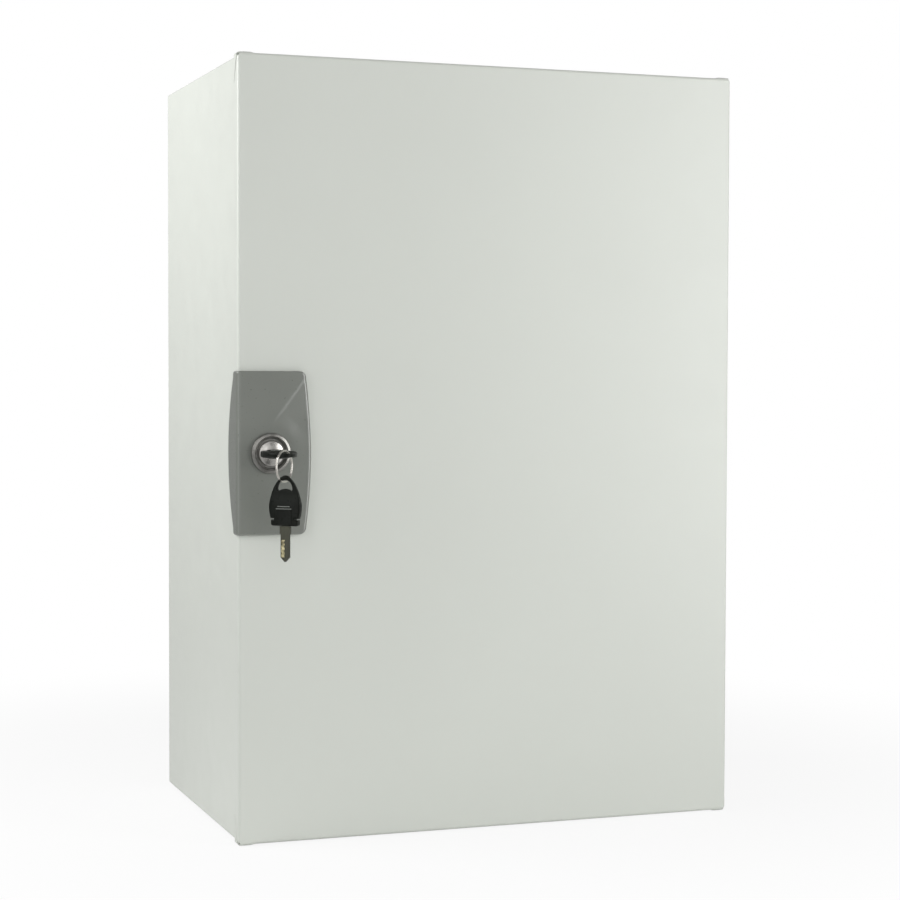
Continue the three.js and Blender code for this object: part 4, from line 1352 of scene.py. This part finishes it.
class KEYCABINET_OT_keys(Operator):
    """Makes the key in the lock and the spare key"""

    bl_idname = "key_cabinet.keys"
    bl_label = "Make the keys"

    def execute(self, context):
        thickness = size_of("key_bow").z
        bow = mesh_from(bow_mesh(thickness), "bow")
        panel = mesh_from(bow_panel_mesh(thickness), "bow_panel")
        ribs = mesh_from(bow_ribs_mesh(thickness), "bow_ribs")
        blade = mesh_from(blade_mesh(), "blade")
        floor = mesh_from(track_floor_mesh(), "track_floor")
        for stem in ("key", "spare_key"):
            low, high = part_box(f"{stem}_bow")
            place, turn = middle_of(f"{stem}_bow"), Euler((0, 0, SPARE_TURN))
            if stem == "key":
                place.y, turn = high.y, Euler((math.pi / 2, 0, 0))
            else:
                place.z = low.z
            common = {"place": place, "turn": turn}
            dress(f"{stem}_moulding", bow, key_plastic, stem, "key_plastic", f"{stem}_bow", **common)
            dress(f"{stem}_panel", panel, key_plastic, stem, "key_plastic", **common)
            # The ribs take the lighter plastic, partly as rubbing and partly as a painted glint along their
            # crests
            dress(f"{stem}_ribs", ribs, rubbed_and_glint_plastic, stem, "key_plastic", **common)
            dress(f"{stem}_steel", blade, nickel_silver, stem, "nickel", f"{stem}_blade", **common)
            dress(f"{stem}_track", floor, milled_brass, stem, "nickel", **common)
        return {"FINISHED"}


class KEYCABINET_OT_ring(Operator):
    """Makes the split ring of two turns of flat wire"""

    bl_idname = "key_cabinet.ring"
    bl_label = "Make the key ring"

    def execute(self, context):
        sizes = settings().ring
        radius = size_of("key_ring").z / 2 - RING_WIRE - sizes.draw_in
        steps = 96
        jog_share = 0.12
        start = math.radians(70)
        section_shares = [
            (-1, -0.5), (-0.6, -1), (0.6, -1), (1, -0.5), (1, 0.5), (0.6, 1), (-0.6, 1), (-1, 0.5),
        ]
        rings = []
        for i in range(2 * steps + 1):
            t = i / steps
            a = math.tau * t + start
            side = sizes.step / 2 * (2 * eased((t - 1 + jog_share) / (2 * jog_share)) - 1)
            outward = Vector((math.cos(a), 0, math.sin(a)))
            ring = []
            for across, along in section_shares:
                out = radius + across * sizes.width / 2
                ring.append(outward * out + Vector((0, side + along * sizes.thickness / 2, 0)))
            rings.append(ring)
        spot = {"place": middle_of("key_ring"), "turn": Euler((0, 0, RING_TURN))}
        dress_node("key_ring", tidied(lofted(rings)), bright_nickel, "nickel", "split_ring", **spot)
        return {"FINISHED"}


# Hook rails and their numbers


def hook_points():
    """Middle line of a hook, out from the rail and up, as pairs of depth and height."""
    bend = settings().racks.hook_bend
    half = HOOK_THICKNESS / 2
    turn = -(HOOK_REACH - half - bend)
    points = [(-settings().racks.web / 2, -half), (turn / 2, -half), (turn, -half)]
    points += arc((turn, -half + bend), bend, -90, -180, steps=6)[1:]
    return points + [(-(HOOK_REACH - half), HOOK_TIP - half)]


# How far along its tip a hook's last sections lie, and how much of its size they keep
HOOK_TIP_SHARES = ((0.5, 0.86), (0.8, 0.6), (1.0, 0.25))


def hook_rings(x):
    """Sections along a hook, its last ones drawn in to a rounded tip."""
    half_width, half = HOOK_WIDTH / 2, HOOK_THICKNESS / 2
    line = hook_points()
    rings = []
    for i, (y, z) in enumerate(line):
        before, after = line[max(0, i - 1)], line[min(len(line) - 1, i + 1)]
        dy, dz = after[0] - before[0], after[1] - before[1]
        run = math.hypot(dy, dz)
        rings.append(section_ring(x, y, z, dz / run, -dy / run, half_width, half))
    y, z = line[-1]
    for gone, kept in HOOK_TIP_SHARES:
        rings.append(section_ring(x, y, z + gone * half, -1, 0, half_width * kept, half * kept))
    return rings


def section_ring(x, y, z, ny, nz, half_width, half):
    """A hook's section, a box with its corners cut, about a point of its middle line."""
    corner = 0.72
    signs = ((-1, -1), (1, -1), (1, 1), (-1, 1))
    shares = []
    for a, b in signs:
        pair = [(a, b * corner), (a * corner, b)]
        shares += pair if a == b else reversed(pair)
    return [Vector((x + a * half_width, y + b * half * ny, z + b * half * nz)) for a, b in shares]


def rail_bmesh(size, hooks):
    """A beaded strip with its hooks and lugs, back at y = 0 and hooks towards -Y."""
    racks = settings().racks
    half_length, half_height, thick = size.x / 2, size.z / 2, RAIL_THICKNESS
    web, bead, step = racks.web, racks.bead, RAIL_THICKNESS - racks.web
    square, slope = thick * 0.6, thick * 0.4
    outline = [(0, -half_height), (0, half_height)]
    outline += [(-square, half_height), (-thick, half_height - slope)]
    outline += [(-thick, half_height - bead), (-web, half_height - bead - step)]
    outline += [(-web, bead + step - half_height), (-thick, bead - half_height)]
    outline += [(-thick, slope - half_height), (-square, -half_height)]
    bm = bmesh.new()
    soft = racks.end_round
    rings = []
    inner = half_length - soft
    for x, cut in ((-half_length, soft), (-inner, 0), (inner, 0), (half_length, soft)):
        shrunk = 1 - cut / half_height
        rings.append([Vector((x, min(-cut / 2, max(cut - thick, y)), z * shrunk)) for y, z in outline])
    skin(bm, rings, closed=False)
    for i in range(hooks):
        skin(bm, hook_rings((i - (hooks - 1) / 2) * HOOK_PITCH), closed=False)
    for side in (-1, 1):
        x = side * half_length * LUG_SHARE
        low = (x - LUG_WIDTH / 2, -racks.web / 2, -LUG_HEIGHT / 2)
        lug = softened(box_solid(low, (x + LUG_WIDTH / 2, LUG_REACH, LUG_HEIGHT / 2)), soft, 2)
        mesh = mesh_from(lug, "lug")
        bm.from_mesh(mesh)
        bpy.data.meshes.remove(mesh)
    bmesh.ops.recalc_face_normals(bm, faces=bm.faces)
    return bm


# A digit's height as a share of its font's size, and the way to the next digit as a share of that height
DIGIT_SHARE = 0.7
ADVANCE_SHARE = 0.78


def digit_meshes():
    """Each digit as a thin solid, its foot at the origin and its thickness along Y."""
    made = {}
    for digit in "0123456789":
        curve = bpy.data.curves.new(f"digit {digit}", "FONT")
        curve.body = digit
        curve.size = settings().racks.digit_height / DIGIT_SHARE
        curve.extrude = settings().racks.digit_rise
        curve.resolution_u = 2
        made[digit] = mesh_from(tidied(upright_solid(curve)), f"digit {digit}")
    return made


def number_bmesh(digits, first, hooks):
    """The numbers of one rail's hooks, in front of its web."""
    racks = settings().racks
    advance = racks.digit_height * ADVANCE_SHARE
    depth = -racks.web - racks.digit_rise
    foot = -HOOK_THICKNESS - racks.digit_gap - racks.digit_height
    bm = bmesh.new()
    for i in range(hooks):
        text = str(first + i)
        x = (i - (hooks - 1) / 2) * HOOK_PITCH - advance * len(text) / 2
        for k, digit in enumerate(text):
            start = len(bm.verts)
            bm.from_mesh(digits[digit])
            bm.verts.ensure_lookup_table()
            for v in bm.verts[start:]:
                v.co += Vector((x + k * advance, depth, foot))
    return bm


class KEYCABINET_OT_rails(Operator):
    """Makes the hook rails of the back, the door and the page, with their hook numbers"""

    bl_idname = "key_cabinet.rails"
    bl_label = "Make the hook rails"

    def execute(self, context):
        digits = digit_meshes()
        meshes = {}
        number = 1
        groups = (
            ("back_hook_rail", False),
            ("page_front_rail", False),
            ("page_rear_rail", True),
            ("door_hook_rail", True),
        )
        for stem, turned_round in groups:
            for node in reversed(nodes_like(stem)):
                low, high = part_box(node)
                hooks = round((high.x - low.x - 2 * RAIL_END) / HOOK_PITCH) + 1
                if hooks not in meshes:
                    meshes[hooks] = mesh_from(rail_bmesh(high - low, hooks), f"rail of {hooks}")
                place = (low + high) / 2
                place.y = low.y + LUG_REACH if turned_round else high.y - LUG_REACH
                common = {"place": place, "turn": Euler((0, 0, math.pi if turned_round else 0))}
                body = body_of(node)
                slot = "rail_aluminium"
                dress(f"{node}_finished", meshes[hooks], rail_aluminium, body, slot, node, **common)
                numbers = mesh_from(number_bmesh(digits, number, hooks), "numbers")
                dress(f"{node}_numbers", numbers, number_ink, body, slot, **common)
                number += hooks
        return {"FINISHED"}


# Small fittings


def channel_bmesh(width, depth, length, bend):
    """A channel along Z with rounded folds, open towards +Y at y = 0."""
    half, turn = width / 2, bend - depth
    left, right, inner, steps = (bend - half, turn), (half - bend, turn), bend - SHEET, 5
    outline = [(-half, 0), *arc(left, bend, 180, 270, steps), *arc(right, bend, 270, 360, steps)]
    outline += [(half, 0), (half - SHEET, 0), *arc(right, inner, 360, 270, steps)]
    outline += [*arc(left, inner, 270, 180, steps), (SHEET - half, 0)]
    return tidied(lofted([[Vector((x, y, side * length / 2)) for x, y in outline] for side in (-1, 1)]))


def rivet_profile(low, high, radius):
    """A rivet from the top of its domed head to the end of its shank, for turning."""
    turns = [math.radians(angle) for angle in range(0, 91, 15)]
    points = [(radius * math.sin(a), low + RIVET_HEAD * (1 - math.cos(a))) for a in turns]
    return points + [(RIVET_RADIUS, low + RIVET_HEAD), (RIVET_RADIUS, high), (0, high)]


class KEYCABINET_OT_fittings(Operator):
    """Makes the uprights, hinges, pins, brackets, strike, rivets, screws and buffers"""

    bl_idname = "key_cabinet.fittings"
    bl_label = "Make the fittings"

    def execute(self, context):
        self.uprights("back_upright", "back_hook_rail", "upright_rivet", 0)
        self.uprights("door_upright", "door_hook_rail", None, math.pi)
        edge = settings().racks.end_round
        pin_share = 0.6
        for stem in ("hinge_bracket", "page_bracket", "strike_plate", "hinge_pin", "page_pin"):
            for node in nodes_like(stem):
                dress_plated(node, edge * (pin_share if "pin" in stem else 1))
        self.rivets()
        for screw in nodes_like("housing_screw"):
            dress_screw(screw, HOUSING_SCREW)
        self.buffers()
        return {"FINISHED"}

    def uprights(self, stem, rail_stem, rivet_stem, turn):
        """Channels with slots for the rails' lugs and for rails halfway between them."""
        levels = sorted(middle_of(rail).z for rail in nodes_like(rail_stem))
        levels = sorted(levels + [(a + b) / 2 for a, b in zip(levels, levels[1:])])
        for node in nodes_like(stem):
            low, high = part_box(node)
            size = high - low
            web = SHEET / 2 - size.y
            cuts = lug_slots((0,), levels, web)
            if rivet_stem:
                rivet_levels = {round(middle_of(rivet).z, 5) for rivet in nodes_like(rivet_stem)}
                cuts += [rod_solid("y", RIVET_RADIUS + PLAY, (0, web, z), 2 * SHEET) for z in rivet_levels]
            bend = settings().racks.upright_bend
            upright = carved(channel_bmesh(size.x, size.y, size.z, bend), together(cuts))
            place = (low + high) / 2
            place.y = low.y if turn else high.y
            dress_node(node, upright, zinc_steel, "zinc_steel", place=place, turn=Euler((0, 0, turn)))

    def rivets(self):
        for node in nodes_like("upright_rivet"):
            low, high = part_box(node)
            rivet = turned(rivet_profile(low.y, high.y, (high.x - low.x) / 2), sides=32)
            dress_node(node, rivet, zinc_steel, "zinc_steel", place=at_axis(node))

    def buffers(self):
        racks = settings().racks
        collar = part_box("cabinet_shell")[0].y - PLAY
        for node in nodes_like("door_buffer"):
            low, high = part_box(node)
            radius = (high.x - low.x) / 2
            soft = racks.buffer_round
            profile = [(0, low.y), *arc((radius - soft, low.y + soft), soft, -90, 0, steps=5)]
            profile += [(radius, collar - PLAY), (radius - PLAY, collar), (BUFFER_STEM, collar)]
            profile += [(BUFFER_STEM, high.y - BUFFER_STEM), (racks.buffer_tip, high.y), (0, high.y)]
            dress_node(node, turned(profile, sides=40), buffer_rubber, "rubber", place=at_axis(node))


# Studio


def floor_material():
    """Pale floor with the cabinet's shadow, that fades to white for the camera further off."""
    studio = settings().studio
    floor = Finish("Studio floor", specular=0.1)
    fill_in(floor.shader, {"Base Color": (*grey(0.86), 1), "Roughness": 0.9})
    far = floor.node("ShaderNodeVectorMath", operation="LENGTH")
    floor.link(floor.place, far.inputs[0])
    span = {"From Min": studio.fade_start, "From Max": studio.fade_end, "To Min": studio.near_white}
    fade = floor.node("ShaderNodeMapRange", span, interpolation_type="SMOOTHSTEP")
    floor.link(far.outputs["Value"], fade.inputs["Value"])
    seen = floor.node("ShaderNodeMath", operation="MULTIPLY")
    floor.link(floor.node("ShaderNodeLightPath").outputs["Is Camera Ray"], seen.inputs[0])
    floor.link(fade.outputs["Result"], seen.inputs[1])
    glow = floor.node("ShaderNodeEmission")
    mix = floor.node("ShaderNodeMixShader")
    floor.link(seen.outputs["Value"], mix.inputs["Fac"])
    floor.link(floor.shader.outputs["BSDF"], mix.inputs[1])
    floor.link(glow.outputs["Emission"], mix.inputs[2])
    floor.link(mix.outputs["Shader"], floor.tree.nodes["Material Output"].inputs["Surface"])
    return floor.material


def white_to_camera(world, fill):
    """White background for the camera and through clear surfaces, plain fill light for the rest."""
    world.use_nodes = True
    sky = Nodes(world.node_tree)
    sky.tree.nodes.clear()
    path = sky.node("ShaderNodeLightPath")
    either = sky.node("ShaderNodeMath", operation="MAXIMUM")
    fill_light = sky.node("ShaderNodeBackground", {"Color": (*grey(1), 1), "Strength": fill})
    white = sky.node("ShaderNodeBackground", {"Color": (*grey(1), 1)})
    mix = sky.node("ShaderNodeMixShader")
    sky.link(path.outputs["Is Camera Ray"], either.inputs[0])
    sky.link(path.outputs["Is Transmission Ray"], either.inputs[1])
    sky.link(either.outputs["Value"], mix.inputs["Fac"])
    sky.link(fill_light.outputs["Background"], mix.inputs[1])
    sky.link(white.outputs["Background"], mix.inputs[2])
    sky.link(mix.outputs["Shader"], sky.node("ShaderNodeOutputWorld").inputs["Surface"])


def lamp(name, power, place, target, size):
    """A soft rectangular lamp of some width and height, turned to a target."""
    light = bpy.data.lights.new(name, "AREA")
    light.shape = "RECTANGLE"
    light.size, light.size_y = size
    light.energy = power
    holder = bpy.data.objects.new(name, light)
    holder.location = place
    holder.rotation_euler = (Vector(target) - Vector(place)).to_track_quat("-Z", "Y").to_euler()
    bpy.context.scene.collection.objects.link(holder)


# Each lamp's name, power, place, target, and width and height
LAMPS = (
    ("Side lamp", "side_light", (-0.75, -0.02, 0.42), (-0.19, -0.1, 0.16), (0.5, 0.45)),
    ("Left lamp", "left_light", (-1.16, -0.75, 0.4), (-0.19, -0.2, 0.1), (0.5, 1.3)),
    ("Near lamp", "near_light", (0.95, -1.25, 0.05), (0.17, -0.2, -0.02), (0.6, 1.5)),
    ("Front lamp", "front_light", (-0.6, -2.6, 0.7), (0, -0.2, 0), (1.6, 1.2)),
)


class KEYCABINET_OT_studio(Operator):
    """Makes the floor, the lamps, the light all round and the camera"""

    bl_idname = "key_cabinet.studio"
    bl_label = "Make the studio"

    def execute(self, context):
        studio = settings().studio
        scene = context.scene
        camera = bpy.data.objects.new("Camera", bpy.data.cameras.new("Camera"))
        camera.data.lens = studio.lens
        camera.data.sensor_width = 36
        camera.location = studio.camera_place
        camera.rotation_euler = studio.camera_turn
        scene.collection.objects.link(camera)
        scene.camera = camera
        bm = bmesh.new()
        bmesh.ops.create_grid(bm, x_segments=8, y_segments=8, size=studio.floor_size / 2)
        ground = bpy.data.objects.new("studio_floor", mesh_from(bm, "studio_floor"))
        ground.location.z = CAD_BOX[0][2] - studio.floor_gap
        ground.data.materials.append(floor_material())
        scene.collection.objects.link(ground)
        scene.world = bpy.data.worlds.new("Studio")
        white_to_camera(scene.world, studio.fill)
        for name, power, place, target, size in LAMPS:
            lamp(name, getattr(studio, power), place, target, size)
        scene.view_settings.view_transform = "Standard"
        return {"FINISHED"}


class KEYCABINET_PT_sidebar(Panel):
    bl_idname = "KEYCABINET_PT_sidebar"
    bl_label = "Key Cabinet"
    bl_space_type = "VIEW_3D"
    bl_region_type = "UI"
    bl_category = "Key Cabinet"

    def draw(self, context):
        values = context.scene.key_cabinet
        for group in KeyCabinetSettings.__annotations__:
            box = self.layout.box()
            box.label(text=group.capitalize())
            for name in getattr(values, group).__annotations__:
                box.prop(getattr(values, group), name)
        for maker in MAKERS:
            self.layout.operator(maker.bl_idname)


MAKERS = (
    KEYCABINET_OT_studio,
    KEYCABINET_OT_body,
    KEYCABINET_OT_door,
    KEYCABINET_OT_housing,
    KEYCABINET_OT_lock,
    KEYCABINET_OT_keys,
    KEYCABINET_OT_ring,
    KEYCABINET_OT_rails,
    KEYCABINET_OT_fittings,
    KEYCABINET_OT_page,
)
GROUPS = (
    SheetMetalSizes,
    HousingSizes,
    LockSizes,
    KeySizes,
    RingSizes,
    RackSizes,
    FinishColours,
    StudioSettings,
    KeyCabinetSettings,
)


def register():
    for made in (*GROUPS, *MAKERS, KEYCABINET_PT_sidebar):
        bpy.utils.register_class(made)
    bpy.types.Scene.key_cabinet = PointerProperty(type=KeyCabinetSettings)


def unregister():
    del bpy.types.Scene.key_cabinet
    for made in reversed((*GROUPS, *MAKERS, KEYCABINET_PT_sidebar)):
        bpy.utils.unregister_class(made)


def main():
    register()
    for maker in MAKERS:
        group, name = maker.bl_idname.split(".")
        getattr(getattr(bpy.ops, group), name)()


if __name__ == "__main__":
    main()
